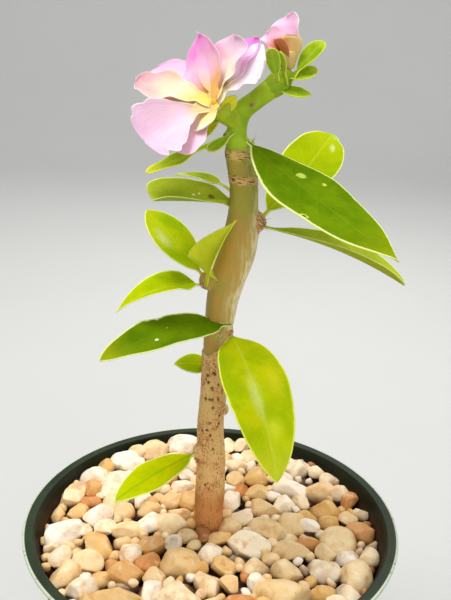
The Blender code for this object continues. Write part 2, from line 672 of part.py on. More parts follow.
def catmull(points, t):
    """A point on the smooth curve through a row of points, t from 0 to 1."""
    span = t * (len(points) - 1)
    i = min(int(span), len(points) - 2)
    f = span - i
    p1, p2 = points[i], points[i + 1]
    p0 = points[i - 1] if i > 0 else p1 * 2 - p2
    p3 = points[i + 2] if i + 2 < len(points) else p2 * 2 - p1
    return (p1 * 2 + (p2 - p0) * f + (p0 * 2 - p1 * 5 + p2 * 4 - p3) * f ** 2
            + (p1 * 3 - p0 - p2 * 3 + p3) * f ** 3) / 2


def tube(name, path, sides, step, mat=None, grow=0.0, ridge=0.0):
    """A round tapering body along a path of (x, y, z, radius), closed at both ends."""
    points = [Vector(row) for row in path]
    length = sum((points[i + 1].xyz - points[i].xyz).length for i in range(len(points) - 1))
    count = max(len(points), int(length / step))
    samples = [catmull(points, i / count) for i in range(count + 1)]
    verts, faces = [], []
    for i, sample in enumerate(samples):
        before = samples[max(i - 1, 0)].xyz
        after = samples[min(i + 1, count)].xyz
        tangent = (after - before).normalized()
        across = Vector((0.0, 1.0, 0.0)).cross(tangent).normalized()
        deep = tangent.cross(across)
        for k in range(sides):
            angle = math.tau * k / sides
            radius = sample.w * (1.0 + ridge * math.sin(RIDGE_COUNT * angle + RIDGE_DRIFT * i)) + grow
            verts.append(sample.xyz + across * radius * math.cos(angle)
                         + deep * radius * math.sin(angle))
    for i in range(count):
        for k in range(sides):
            a, b = i * sides + k, i * sides + (k + 1) % sides
            faces.append([a, b, b + sides, a + sides])
    faces.append(list(range(sides))[::-1])
    faces.append([count * sides + k for k in range(sides)])
    if grow > 0.0:
        verts = stretch_ends(verts, sides, grow)
    return new_object(name, verts, faces, mat, 60.0)


def stretch_ends(verts, sides, reach):
    """Push the two end rings of a tube outwards along it."""
    first = sum(verts[:sides], Vector()) / sides
    second = sum(verts[sides:2 * sides], Vector()) / sides
    last = sum(verts[-sides:], Vector()) / sides
    previous = sum(verts[-2 * sides:-sides], Vector()) / sides
    back = (first - second).normalized() * reach
    ahead = (last - previous).normalized() * reach
    return [v + back for v in verts[:sides]] + verts[sides:-sides] + [v + ahead for v in verts[-sides:]]


def direction(compass, rise):
    """Unit vector from a compass angle and a rise in degrees."""
    a, e = math.radians(compass), math.radians(rise)
    return Vector((math.cos(e) * math.cos(a), math.cos(e) * math.sin(a), math.sin(e)))


def make_bump(name, bump, grow):
    """One areole or knot as a stretched ball."""
    bm = bmesh.new()
    bmesh.ops.create_icosphere(bm, subdivisions=2 if min(bump.half) > FINE_BUMP else 1, radius=1.0)
    verts = [Vector(bump.at) + Vector([c * (h + grow) for c, h in zip(v.co, bump.half)])
             for v in bm.verts]
    faces = [[v.index for v in face.verts] for face in bm.faces]
    bm.free()
    return new_object(name, verts, faces, None)


def make_spine(name, bump, spine):
    """A slim pointed spine that starts inside its areole."""
    compass, rise, length = spine
    way = direction(compass, rise)
    side = way.cross(Vector((0.3, 0.2, 1.0))).normalized()
    deep = way.cross(side)
    reach = Vector([w * h for w, h in zip(way, bump.half)]).length
    start = Vector(bump.at) + way * reach * SPINE_SUNK
    verts = []
    for k in range(SPINE_SIDES):
        angle = math.tau * k / SPINE_SIDES
        verts.append(start + (side * math.cos(angle) + deep * math.sin(angle)) * SPINE_RADIUS)
    verts.append(start + way * (length + reach * (1.0 - SPINE_SUNK)))
    tip = SPINE_SIDES
    faces = [[k, (k + 1) % SPINE_SIDES, tip] for k in range(SPINE_SIDES)]
    faces.append(list(range(SPINE_SIDES))[::-1])
    return new_object(name, verts, faces, None)


def make_stem(name, grow=0.0):
    """The stem from its root to the end of the shoot, with its areoles and spines.

    With grow above 0 it is the same shape made fatter, without the spines, as the room that the
    stem needs among its leaves.
    """
    mat = stem_material() if grow == 0.0 else None
    stem = tube(name, STEM_PATH, STEM_SIDES, STEM_STEP, mat, grow, RIDGE_DEPTH)
    parts = []
    for i, bump in enumerate(BUMPS):
        parts.append(make_bump("%s_bump_%d" % (name, i), bump, grow))
        if grow == 0.0:
            for k, spine in enumerate(bump.spines):
                parts.append(make_spine("%s_spine_%d_%d" % (name, i, k), bump, spine))
    return union_all(stem, parts)


def half_width(blade, t):
    """Half width of a blade at a share of its length."""
    a, b = blade.taper
    widest = a / (a + b)
    peak = widest ** a * (1.0 - widest) ** b
    u = min(max((t - blade.stalk) / (1.0 - blade.stalk), 0.0), 1.0)
    leafy = blade.width / 2 * u ** a * (1.0 - u) ** b / peak if u > 0.0 else 0.0
    least = MIN_STALK + (MIN_TIP - MIN_STALK) * max(t, 0.0)
    return max(leafy, least)


def blade_rows(blade, steps):
    """Midrib points with their side and normal, from the root to the tip, closer near the tip."""
    rows = []
    point, last_t, last_way = Vector(blade.base), 0.0, None
    fine = 4
    for i in range(steps * fine + 1):
        t = 1.0 - (1.0 - i / (steps * fine)) ** TIP_CROWDING
        way = direction(blade.compass + blade.swing * t, blade.rise - blade.droop * t)
        rise = direction(blade.compass + blade.swing * t, blade.rise - blade.droop * t + 90.0)
        left = rise.cross(way)
        roll = math.radians(blade.roll + blade.twist * t)
        normal = rise * math.cos(roll) + left * math.sin(roll)
        side = left * math.cos(roll) - rise * math.sin(roll)
        if i == 0:
            rows.append((-blade.root / blade.length, point - way * blade.root, side, normal))
        else:
            point = point + (way + last_way) / 2 * blade.length * (t - last_t)
        last_t, last_way = t, way
        if i % fine == 0:
            rows.append((t, point.copy(), side, normal))
    return rows


def make_blade(name, blade, thickness, grid, mat=None):
    """A thin folded and waved blade with both faces split into triangles alike."""
    steps, across = grid
    fold = math.radians(blade.fold)
    upper, lower = [], []
    for t, point, side, normal in blade_rows(blade, steps):
        half = half_width(blade, t)
        flat = min(max((t - blade.stalk) / FOLD_SHARE, 0.0), 1.0)
        for k in range(across + 1):
            v = 2.0 * k / across - 1.0
            lean = math.copysign(1.0, v) if v else 0.0
            run = half * abs(v)
            angle = fold * flat
            wave = blade.wave * v * v * flat * math.sin(math.tau * blade.waves * t + WAVE_SHIFT * lean)
            place = (point + side * lean * run * math.cos(angle)
                     + normal * (run * math.sin(angle) + wave))
            out = normal * math.cos(angle) - side * lean * math.sin(angle)
            if not v:
                out = normal / math.cos(angle)
            upper.append(place + out * thickness / 2)
            lower.append(place - out * thickness / 2)
    row, count = across + 1, len(upper)
    faces = []
    for i in range(steps + 1):
        for k in range(across):
            a = i * row + k
            quad = (a, a + 1, a + 1 + row, a + row)
            split = ((0, 1, 2), (0, 2, 3)) if k < across / 2 else ((0, 1, 3), (1, 2, 3))
            for corners in split:
                faces.append([quad[c] for c in corners])
                faces.append([quad[c] + count for c in reversed(corners)])
    for i in range(steps + 1):
        for edge in (0, across):
            a, b = i * row + edge, (i + 1) * row + edge
            faces.append([a, b, b + count, a + count])
    for end in (0, (steps + 1) * row):
        for k in range(across):
            a, b = end + k, end + k + 1
            faces.append([a, b, b + count, a + count])
    return new_object(name, upper + lower, faces, mat, 50.0)


def make_leaves(room):
    """Every leaf in its own object, with its stalk cut clear of the stem."""
    dark = leaf_material("leaf_dark_green", (0.07, 0.22, 0.01))
    pale = leaf_material("leaf_yellow_green", (0.32, 0.52, 0.01))
    middle = leaf_material("leaf_olive_green", (0.22, 0.36, 0.04))
    for name, blade in LEAVES.items():
        mat = dark if name in DARK_LEAVES else pale if name in PALE_LEAVES else middle
        grid = SMALL_GRID if blade.length < SMALL_LEAF else LEAF_GRID
        leaf = make_blade(name, blade, LEAF_THICKNESS, grid, mat)
        cut(leaf, room)
        drop_scraps(leaf)


def make_cup(name, path, bracts, room):
    """A bloom's green cup with its leafy bracts, cut clear of the stem."""
    green = leaf_material(name + "_green", (0.24, 0.40, 0.02))
    cup = tube(name, path, CUP_SIDES, CUP_STEP, green)
    parts = [make_blade("%s_bract_%d" % (name, i), bract, LEAF_THICKNESS, SMALL_GRID)
             for i, bract in enumerate(bracts)]
    union_all(cup, parts)
    cut(cup, room)
    drop_scraps(cup)
    return cup


def make_bloom(name, petals, core_path, color):
    """A bloom's petals, which stand out of one small core and are fused where they cross."""
    bloom = tube(name, core_path, CORE_SIDES, CUP_STEP, petal_material(name + "_pink", color))
    blades = []
    for i, petal in enumerate(petals):
        start = Vector(petal.base) + direction(petal.compass, petal.rise) * PETAL_RING
        petal = petal._replace(base=start, length=petal.length - PETAL_RING, root=PETAL_ROOT)
        blades.append(make_blade("%s_petal_%d" % (name, i), petal, PETAL_THICKNESS, PETAL_GRID))
    union_all(bloom, blades)
    drop_scraps(bloom)
    return bloom


def main():
    """Build the potted plant."""
    clear_scene()
    make_pot()
    make_soil()
    make_pebble_bed()
    make_stem("stem")
    room = make_stem("stem_room", GAP)
    hide_guide(room)
    make_leaves(room)
    make_cup("main_bloom_cup", CUP_PATH, CUP_BRACTS, room)
    make_cup("second_bloom_cup", SECOND_CUP_PATH, SECOND_BRACTS, room)
    make_bloom("main_bloom", MAIN_PETALS, MAIN_CORE, (0.90, 0.55, 0.72))
    make_bloom("second_bloom", SECOND_PETALS, SECOND_CORE, (0.88, 0.50, 0.62))
    bpy.data.objects.remove(room, do_unlink=True)


main()
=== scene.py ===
"""Looks of a potted leaf cactus with two pink blooms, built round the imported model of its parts.

Sizes are in millimetres and degrees unless a name says otherwise. The origin is the middle of the
pot's underside, +Z is up, and the plant's front looks along -Y.
"""
import logging
import math
import random
from dataclasses import dataclass, field, replace
from enum import Enum
from typing import Sequence, Union

import bmesh
import bpy
import numpy as np
from mathutils import Matrix, Vector, noise


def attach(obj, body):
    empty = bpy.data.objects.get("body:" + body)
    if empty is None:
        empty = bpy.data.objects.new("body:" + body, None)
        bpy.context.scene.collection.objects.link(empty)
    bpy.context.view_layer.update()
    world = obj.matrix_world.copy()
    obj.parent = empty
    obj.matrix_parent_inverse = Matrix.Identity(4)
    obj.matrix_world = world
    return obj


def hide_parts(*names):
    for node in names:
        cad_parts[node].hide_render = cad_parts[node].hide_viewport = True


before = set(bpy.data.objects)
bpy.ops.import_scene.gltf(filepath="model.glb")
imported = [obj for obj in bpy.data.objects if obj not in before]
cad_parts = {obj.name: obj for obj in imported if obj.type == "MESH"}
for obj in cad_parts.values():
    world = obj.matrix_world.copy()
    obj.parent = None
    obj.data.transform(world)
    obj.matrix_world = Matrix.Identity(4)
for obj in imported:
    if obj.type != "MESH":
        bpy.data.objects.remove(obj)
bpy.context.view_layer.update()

LOG = logging.getLogger("potted_pereskia")
BODY = "root"
MM = 0.001
CAP_SHARE = 0.3

Color = tuple[float, float, float, float]
Place = tuple[float, float, float]
Pair = tuple[float, float]
Value = Union[float, int, bool, str, tuple, "Wire"]


def srgb(red: int, green: int, blue: int) -> Color:
    """Turn display values from 0 to 255 into a linear colour.

    Args:
        red: Display value of red.
        green: Display value of green.
        blue: Display value of blue.

    Returns:
        The linear colour with full alpha.
    """
    linear = []
    for value in (red / 255.0, green / 255.0, blue / 255.0):
        linear.append(value / 12.92 if value <= 0.04045 else ((value + 0.055) / 1.055) ** 2.4)
    return (*linear, 1.0)


def smooth_step(value: np.ndarray, low: float, high: float) -> np.ndarray:
    """Fade smoothly from 0 at low to 1 at high.

    Args:
        value: Numbers to fade.
        low: Where the fade starts.
        high: Where it ends; it may lie below low.

    Returns:
        Numbers from 0 to 1.
    """
    share = np.clip((value - low) / (high - low), 0.0, 1.0)
    return share * share * (3.0 - 2.0 * share)


def noise_at(points: np.ndarray, scale: Sequence[float], seed: float) -> np.ndarray:
    """Read smooth noise at many points.

    Args:
        points: Places, one a row.
        scale: How fast the noise changes along each axis, in waves a millimetre.
        seed: Shifts the noise, so that pieces differ.

    Returns:
        One number a point, from about -1 to 1.
    """
    moved = points * np.asarray(scale) + np.array((seed * 17.3, seed * 5.1, seed * 9.7))
    return np.array([noise.noise(Vector(row)) for row in moved])


# Node trees


class Wire:
    """One output socket, on which Python's operators add Math nodes."""

    def __init__(self, graph: "Graph", socket: bpy.types.NodeSocket) -> None:
        """Keep the socket and the graph that it is in."""
        self.graph = graph
        self.socket = socket

    def other(self, name: str) -> "Wire":
        """Another output of the same node."""
        return Wire(self.graph, self.socket.node.outputs[name])

    def __add__(self, term: Value) -> "Wire":
        """The sum."""
        return self.graph.maths("ADD", self, term)

    __radd__ = __add__

    def __sub__(self, term: Value) -> "Wire":
        """The difference."""
        return self.graph.maths("SUBTRACT", self, term)

    def __rsub__(self, term: Value) -> "Wire":
        """The difference, from a number."""
        return self.graph.maths("SUBTRACT", term, self)

    def __mul__(self, factor: Value) -> "Wire":
        """The product."""
        return self.graph.maths("MULTIPLY", self, factor)

    __rmul__ = __mul__

    def __truediv__(self, divisor: Value) -> "Wire":
        """The quotient."""
        return self.graph.maths("DIVIDE", self, divisor)

    def __rtruediv__(self, term: Value) -> "Wire":
        """The quotient, of a number."""
        return self.graph.maths("DIVIDE", term, self)

    def __pow__(self, exponent: Value) -> "Wire":
        """The power."""
        return self.graph.maths("POWER", self, exponent)

    def __abs__(self) -> "Wire":
        """The size without its sign."""
        return self.graph.maths("ABSOLUTE", self)


class Graph:
    """Adds nodes to the tree of a material or of Geometry Nodes."""

    def __init__(self, tree: bpy.types.NodeTree) -> None:
        """Keep the tree."""
        self.tree = tree

    def feed(self, socket: bpy.types.NodeSocket, value: Value) -> None:
        """Link a wire to a socket, or set the socket's own value.

        Args:
            socket: The input that gets the value.
            value: A wire, or a value that the input can hold.
        """
        if isinstance(value, Wire):
            self.tree.links.new(value.socket, socket)
        else:
            socket.default_value = value

    def node(self, kind: str, settings: dict | None = None, values: dict | None = None,
             out: int | str = 0) -> Wire:
        """Add one node.

        Args:
            kind: The node's type.
            settings: Properties of the node, such as its operation, or a ramp's stops.
            values: Numbers, colours or wires for its sockets, by name or number.
            out: Which output is wanted.

        Returns:
            The wanted output.
        """
        made = self.tree.nodes.new(kind)
        for name, value in (settings or {}).items():
            if name == "stops":
                self._fill_ramp(made.color_ramp, value)
            else:
                setattr(made, name, value)
        for key, value in (values or {}).items():
            self.feed(made.inputs[key], value)
        return Wire(self, made.outputs[out] if made.outputs else None)

    @staticmethod
    def _fill_ramp(ramp: bpy.types.ColorRamp, stops: Sequence[tuple[float, Color]]) -> None:
        """Give a colour ramp its stops.

        Args:
            ramp: The ramp, which has two stops at first.
            stops: Place from 0 to 1 and colour of each stop.
        """
        while len(ramp.elements) < len(stops):
            ramp.elements.new(1.0)
        for element, (place, color) in zip(ramp.elements, stops):
            element.position = place
            element.color = color

    def maths(self, operation: str, *terms: Value) -> Wire:
        """Add a Math node on one, two or three terms."""
        return self.node("ShaderNodeMath", {"operation": operation}, dict(enumerate(terms)))

    def vector(self, operation: str, *terms: Value, out: str = "Vector") -> Wire:
        """Add a Vector Math node."""
        return self.node("ShaderNodeVectorMath", {"operation": operation}, dict(enumerate(terms)),
                         out)

    def fade(self, value: Value, low: float, high: float) -> Wire:
        """Fade smoothly from 0 at low to 1 at high."""
        return self.node("ShaderNodeMapRange", {"interpolation_type": "SMOOTHSTEP"},
                         {"Value": value, "From Min": low, "From Max": high})

    def blend(self, share: Value, first: Value, second: Value) -> Wire:
        """Mix two colours."""
        return self.node("ShaderNodeMix", {"data_type": "RGBA"}, {0: share, 6: first, 7: second},
                         2)

    def layered(self, color: Value, *layers: tuple[Value, Value]) -> Value:
        """Lay colours over a first one, each with the share that covers what lies below.

        Args:
            color: The colour at the bottom.
            layers: Share and colour of each layer, from the bottom up.

        Returns:
            The colour on top of it all.
        """
        for share, top in layers:
            color = self.blend(share, color, top)
        return color

    def ramp(self, share: Value, stops: Sequence[tuple[float, Color]]) -> Wire:
        """Read a colour from a ramp."""
        return self.node("ShaderNodeValToRGB", {"stops": stops}, {"Fac": share}, "Color")

    def noise(self, point: Wire, scale: float, detail: float = 3.0) -> Wire:
        """Noise from 0 to 1, with its scale in waves a millimetre."""
        return self.node("ShaderNodeTexNoise", {}, {"Vector": point, "Scale": scale,
                                                    "Detail": detail}, "Fac")

    def millimetres(self, stretch: Place = (1.0, 1.0, 1.0)) -> Wire:
        """Object coordinates in millimetres, with each axis multiplied by its stretch.

        Args:
            stretch: What each axis is multiplied by.

        Returns:
            The stretched place.
        """
        place = self.node("ShaderNodeTexCoord", out="Object")
        scale = tuple(value / MM for value in stretch)
        return self.node("ShaderNodeMapping", {}, {"Vector": place, "Scale": scale})

    def attribute(self, name: str, out: str = "Fac") -> Wire:
        """Read a named attribute of the mesh in a material."""
        return self.node("ShaderNodeAttribute", {"attribute_name": name}, out=out)

    def scaled(self, vector: Wire, factor: Value) -> Wire:
        """A vector times a number."""
        return self.node("ShaderNodeVectorMath", {"operation": "SCALE"},
                         {0: vector, "Scale": factor})

    def split(self, vector: Wire) -> tuple[Wire, Wire, Wire]:
        """The three parts of a vector."""
        first = self.node("ShaderNodeSeparateXYZ", {}, {0: vector}, "X")
        return first, first.other("Y"), first.other("Z")

    def bump(self, height: Wire, reach: float) -> Wire:
        """Turn a height from 0 to 1 into a normal, with the height's reach in millimetres."""
        return self.node("ShaderNodeBump", {}, {"Height": height, "Distance": reach * MM},
                         "Normal")


# Finishes


@dataclass(frozen=True)
class Finish:
    """A surface finish, which makes one Principled material."""

    name: str

    def material(self) -> bpy.types.Material:
        """The finish's material, made on first use.

        Returns:
            The material, the same one for every finish of this name.
        """
        known = bpy.data.materials.get(self.name)
        if known is not None:
            return known
        made = bpy.data.materials.new(self.name)
        made.use_nodes = True
        graph = Graph(made.node_tree)
        shader = made.node_tree.nodes["Principled BSDF"]
        for socket, value in self.sockets(graph).items():
            graph.feed(shader.inputs[socket], value)
        return made

    def sockets(self, graph: Graph) -> dict[str, Value]:
        """What feeds each socket of the shader."""
        raise NotImplementedError


@dataclass(frozen=True)
class PotPlastic(Finish):
    """Dark green moulded plastic, with painted shade inside and a painted highlight round the lip."""

    body: Color = srgb(44, 56, 34)
    deep: Color = srgb(32, 42, 26)
    # The next colour is painted shade on the inner wall, and the one after it a painted highlight on
    # the lip's edge.
    inner: Color = srgb(28, 34, 22)
    lip_highlight: Color = srgb(212, 222, 196)
    dust: Color = srgb(122, 78, 54)
    edge_radius: Pair = (73.9, 74.4)
    edge_height: Pair = (108.9, 109.6)
    inner_radius: Pair = (71.3, 70.6)
    neck_height: float = 105.5
    shoulder_height: float = 98.5
    neck_slope: float = 0.343
    wall_slope: float = 0.173
    hidden_height: Pair = (60.0, 80.0)
    dust_height: Pair = (106.5, 101.5)
    mottle_scale: float = 0.07
    grain_scale: float = 1.4
    highlight_break_scale: float = 0.5

    def sockets(self, graph: Graph) -> dict[str, Value]:
        """Mottled plastic, darkened inside by painted shade and dusty there, with a painted highlight
        on the lip.

        Args:
            graph: Where the nodes are made.

        Returns:
            What goes into the shader's inputs, by name.
        """
        point = graph.millimetres()
        x, y, z = graph.split(point)
        radius = (x * x + y * y) ** 0.5
        mottle = graph.noise(point, self.mottle_scale, 5.0)
        grain = graph.noise(point, self.grain_scale, 3.0)
        # The pale, broken line round the lip's outer edge is a painted highlight.
        chips = graph.fade(graph.noise(point, self.highlight_break_scale, 4.0), 0.24, 0.44)
        lip_highlight_mask = graph.fade(radius, *self.edge_radius) * graph.fade(z, *self.edge_height) * chips
        neck = graph.maths("MAXIMUM", self.neck_height - z, 0.0)
        lower = graph.maths("MAXIMUM", self.shoulder_height - z, 0.0)
        taper = neck * self.neck_slope - lower * (self.neck_slope - self.wall_slope)
        # The visible inner wall takes the darker inner colour as painted shade.
        inside = graph.fade(radius + taper, *self.inner_radius)
        inside = inside * graph.fade(z, *self.hidden_height)
        dusty = inside * graph.fade(z, *self.dust_height) * graph.fade(grain, 0.3, 0.7)
        return {
            "Base Color": graph.layered(
                self.deep, (graph.fade(mottle, 0.3, 0.7), self.body), (inside * 0.85, self.inner),
                (dusty * 0.7, self.dust), (lip_highlight_mask * 0.85, self.lip_highlight)),
            "Roughness": mottle * 0.2 + 0.38 + dusty * 0.3,
            "Normal": graph.bump(grain, 0.05),
            "Specular IOR Level": 0.16,
        }


@dataclass(frozen=True)
class SoilEarth(Finish):
    """Dark potting soil with crumbs of bark and small pale grains."""

    earth: Color = srgb(62, 40, 24)
    crumb: Color = srgb(110, 72, 40)
    grain: Color = srgb(190, 175, 150)
    crumb_scale: float = 0.35
    grain_scale: float = 1.3

    def sockets(self, graph: Graph) -> dict[str, Value]:
        """Earth with lighter crumbs.

        Args:
            graph: Where the nodes are made.

        Returns:
            What goes into the shader's inputs, by name.
        """
        point = graph.millimetres()
        coarse = graph.noise(point, self.crumb_scale, 5.0)
        fine = graph.noise(point, self.grain_scale, 2.0)
        return {
            "Base Color": graph.layered(
                self.earth, (graph.fade(coarse, 0.4, 0.65), self.crumb),
                (graph.fade(fine, 0.7, 0.76), self.grain)),
            "Roughness": coarse * 0.2 + 0.78,
            "Normal": graph.bump(coarse + fine * 0.4, 1.2),
        }


@dataclass(frozen=True)
class RiverStone(Finish):
    """Worn river pebbles, each with a tint of its own, with stains and small pits."""

    tints: tuple[tuple[float, Color], ...] = (
        (0.0, srgb(252, 242, 226)),
        (0.16, srgb(249, 230, 198)),
        (0.34, srgb(242, 214, 164)),
        (0.5, srgb(230, 194, 136)),
        (0.64, srgb(226, 180, 106)),
        (0.76, srgb(216, 158, 96)),
        (0.88, srgb(204, 130, 70)),
        (1.0, srgb(146, 84, 46)),
    )
    stain: Color = srgb(222, 168, 96)
    rust: Color = srgb(168, 92, 40)
    chalk: Color = srgb(250, 242, 228)
    pit: Color = srgb(96, 60, 34)
    # Dark brown laid over the stones low down: dirt together with painted shade in the gaps between
    # stones.
    dirt_and_shade: Color = srgb(84, 44, 22)
    dirt_and_shade_depth: Pair = (2.2, 6.2)
    undarkened_height: float = 105.5
    bank: float = 0.075
    cloud_scale: float = 0.11
    vein_scale: float = 0.28
    speck_scale: float = 0.9
    fine_scale: float = 1.1

    def sockets(self, graph: Graph) -> dict[str, Value]:
        """The stone's own tint, clouded, stained, pitted, and darkened low down by dirt and painted
        shade.

        Args:
            graph: Where the nodes are made.

        Returns:
            What goes into the shader's inputs, by name.
        """
        point = graph.millimetres()
        _, y, height = graph.split(point)
        tint = graph.attribute("tint")
        kind = graph.attribute("kind")
        cloud = graph.noise(point, self.cloud_scale, 4.0)
        vein = graph.noise(point, self.vein_scale, 5.0)
        fine = graph.noise(point, self.fine_scale, 4.0)
        stained = graph.fade(vein + kind * 0.16, 0.54, 0.76)
        rusty = graph.fade(cloud * 0.5 + vein * 0.5 + kind * 0.1, 0.62, 0.74)
        chalky = graph.fade(1.0 - vein, 0.56, 0.72)
        pitted = graph.fade(graph.noise(point, self.speck_scale, 2.0), 0.7, 0.78)
        # Stones darken with depth below the bed's top: dirt and painted shade between the stones.
        depth = self.undarkened_height + graph.maths("MAXIMUM", y * self.bank, 0.0) - height
        low = graph.fade(depth, *self.dirt_and_shade_depth)
        return {
            "Base Color": graph.layered(
                graph.ramp(tint + (cloud - 0.5) * 0.26, self.tints),
                (stained * 0.38, self.stain), (rusty * 0.32, self.rust),
                (chalky * 0.3, self.chalk), (pitted * 0.4, self.pit), (low * 0.85, self.dirt_and_shade)),
            "Roughness": fine * 0.3 + 0.38,
            "Normal": graph.bump(fine * 0.5 + vein * 0.8 - pitted * 0.6, 0.4),
            "Specular IOR Level": 0.3,
        }


STEM_ZONES = ("bark", "shoot", "scar", "knob", "pit", "peel_and_highlight", "side")


@dataclass(frozen=True)
class StemBark(Finish):
    """Corky bark below, olive skin above and a green shoot, told apart by the mesh's attributes, with a
    painted highlight down the side that faces right.
    """

    # Skin colours across the stem, from facing left to facing right; the cream at the right end is a
    # painted highlight.
    skin: tuple[tuple[float, Color], ...] = (
        (0.0, srgb(198, 160, 80)),
        (0.28, srgb(200, 156, 80)),
        (0.5, srgb(194, 158, 78)),
        (0.72, srgb(204, 172, 98)),
        (0.92, srgb(244, 226, 178)),
    )
    skin_green: Color = srgb(168, 168, 62)
    cork: Color = srgb(252, 208, 138)
    cork_dark: Color = srgb(210, 144, 86)
    cork_pale: Color = srgb(250, 226, 176)
    cork_base: Color = srgb(206, 126, 62)
    cork_line: Color = srgb(150, 82, 40)
    shoot: Color = srgb(170, 198, 40)
    shoot_dark: Color = srgb(128, 164, 26)
    scar: Color = srgb(246, 200, 130)
    scar_dark: Color = srgb(112, 62, 28)
    knob: Color = srgb(232, 196, 140)
    knob_dark: Color = srgb(178, 120, 72)
    pit: Color = srgb(86, 44, 18)
    # Pale peeling bark, also used for a painted highlight strip down the stem's right edge.
    peel_and_highlight: Color = srgb(242, 226, 164)
    base_height: Pair = (126.0, 114.0)
    green_height: Pair = (226.0, 244.0)
    streak_scale: float = 0.9
    cloud_scale: float = 0.14
    fine_scale: float = 1.6
    crack_scale: float = 1.5
    dash_scale: float = 0.8
    streak_stretch: Place = (1.0, 1.0, 0.16)
    dash_stretch: Place = (0.45, 0.45, 2.4)

    def sockets(self, graph: Graph) -> dict[str, Value]:
        """Skin paling to a painted highlight on the right, then cork, shoot, scars, knobs, pits, and
        the peeling edge with its painted highlight strip over it.

        Args:
            graph: Where the nodes are made.

        Returns:
            What goes into the shader's inputs, by name.
        """
        point = graph.millimetres()
        along = graph.millimetres(self.streak_stretch)
        height = graph.split(point)[2]
        bark, shoot, scar, knob, pit, peel_and_highlight, side = map(graph.attribute, STEM_ZONES)
        streak = graph.noise(along, self.streak_scale, 4.0)
        cloud = graph.noise(point, self.cloud_scale, 4.0)
        fine = graph.noise(point, self.fine_scale, 4.0)
        crack = graph.noise(along, self.crack_scale, 5.0)
        # The ramp follows how far the skin faces right, so its cream end is a painted highlight.
        skin = graph.ramp(side * 0.5 + 0.5 + (streak - 0.5) * 0.9, self.skin)
        mossy = graph.fade(cloud, 0.46, 0.66) * 0.5 + graph.fade(height, *self.green_height) * 0.5
        cork = graph.layered(
            self.cork_dark, (graph.fade(fine + cloud, 0.84, 1.0), self.cork),
            (graph.fade(streak, 0.56, 0.7) * 0.6, self.cork_pale),
            (graph.fade(height, *self.base_height) * 0.7, self.cork_base),
            (graph.fade(crack, 0.58, 0.66) * 0.5, self.cork_line))
        green = graph.blend(graph.fade(cloud, 0.3, 0.6) * 0.7 + 0.3, self.shoot_dark, self.shoot)
        dash = graph.noise(graph.millimetres(self.dash_stretch), self.dash_scale, 2.0)
        tan = graph.blend(graph.fade(dash, 0.4, 0.5), self.scar_dark, self.scar)
        wool = graph.blend(graph.fade(fine, 0.4, 0.6), self.knob_dark, self.knob)
        color = graph.layered(skin, (mossy, self.skin_green), (bark, cork), (shoot, green),
                              (scar, tan), (knob, wool), (peel_and_highlight, self.peel_and_highlight), (pit, self.pit))
        rough = graph.maths("MAXIMUM", bark, graph.maths("MAXIMUM", scar, knob))
        relief = fine * 0.6 + crack * 0.7
        return {
            "Base Color": color,
            "Roughness": rough * 0.35 + 0.45,
            "Normal": graph.bump(relief * (rough * 0.85 + 0.15), 0.45),
            "Specular IOR Level": 0.15,
        }


@dataclass(frozen=True)
class Mark:
    """A spot on a leaf: its place along and across, its radius and its colour.

    Core is the share of the radius that has the full colour, and stretch draws it out lengthwise.
    """

    along: float
    across: float
    radius: float
    color: Color
    core: float = 0.6
    stretch: float = 1.0
    share: float = 1.0


PALE_MARK = srgb(232, 240, 190)
YELLOW_MARK = srgb(176, 200, 84)
# A pale sheen on a leaf's face: a painted highlight.
SHEEN_MARK = srgb(222, 232, 168)
BROWN_MARK = srgb(96, 66, 28)


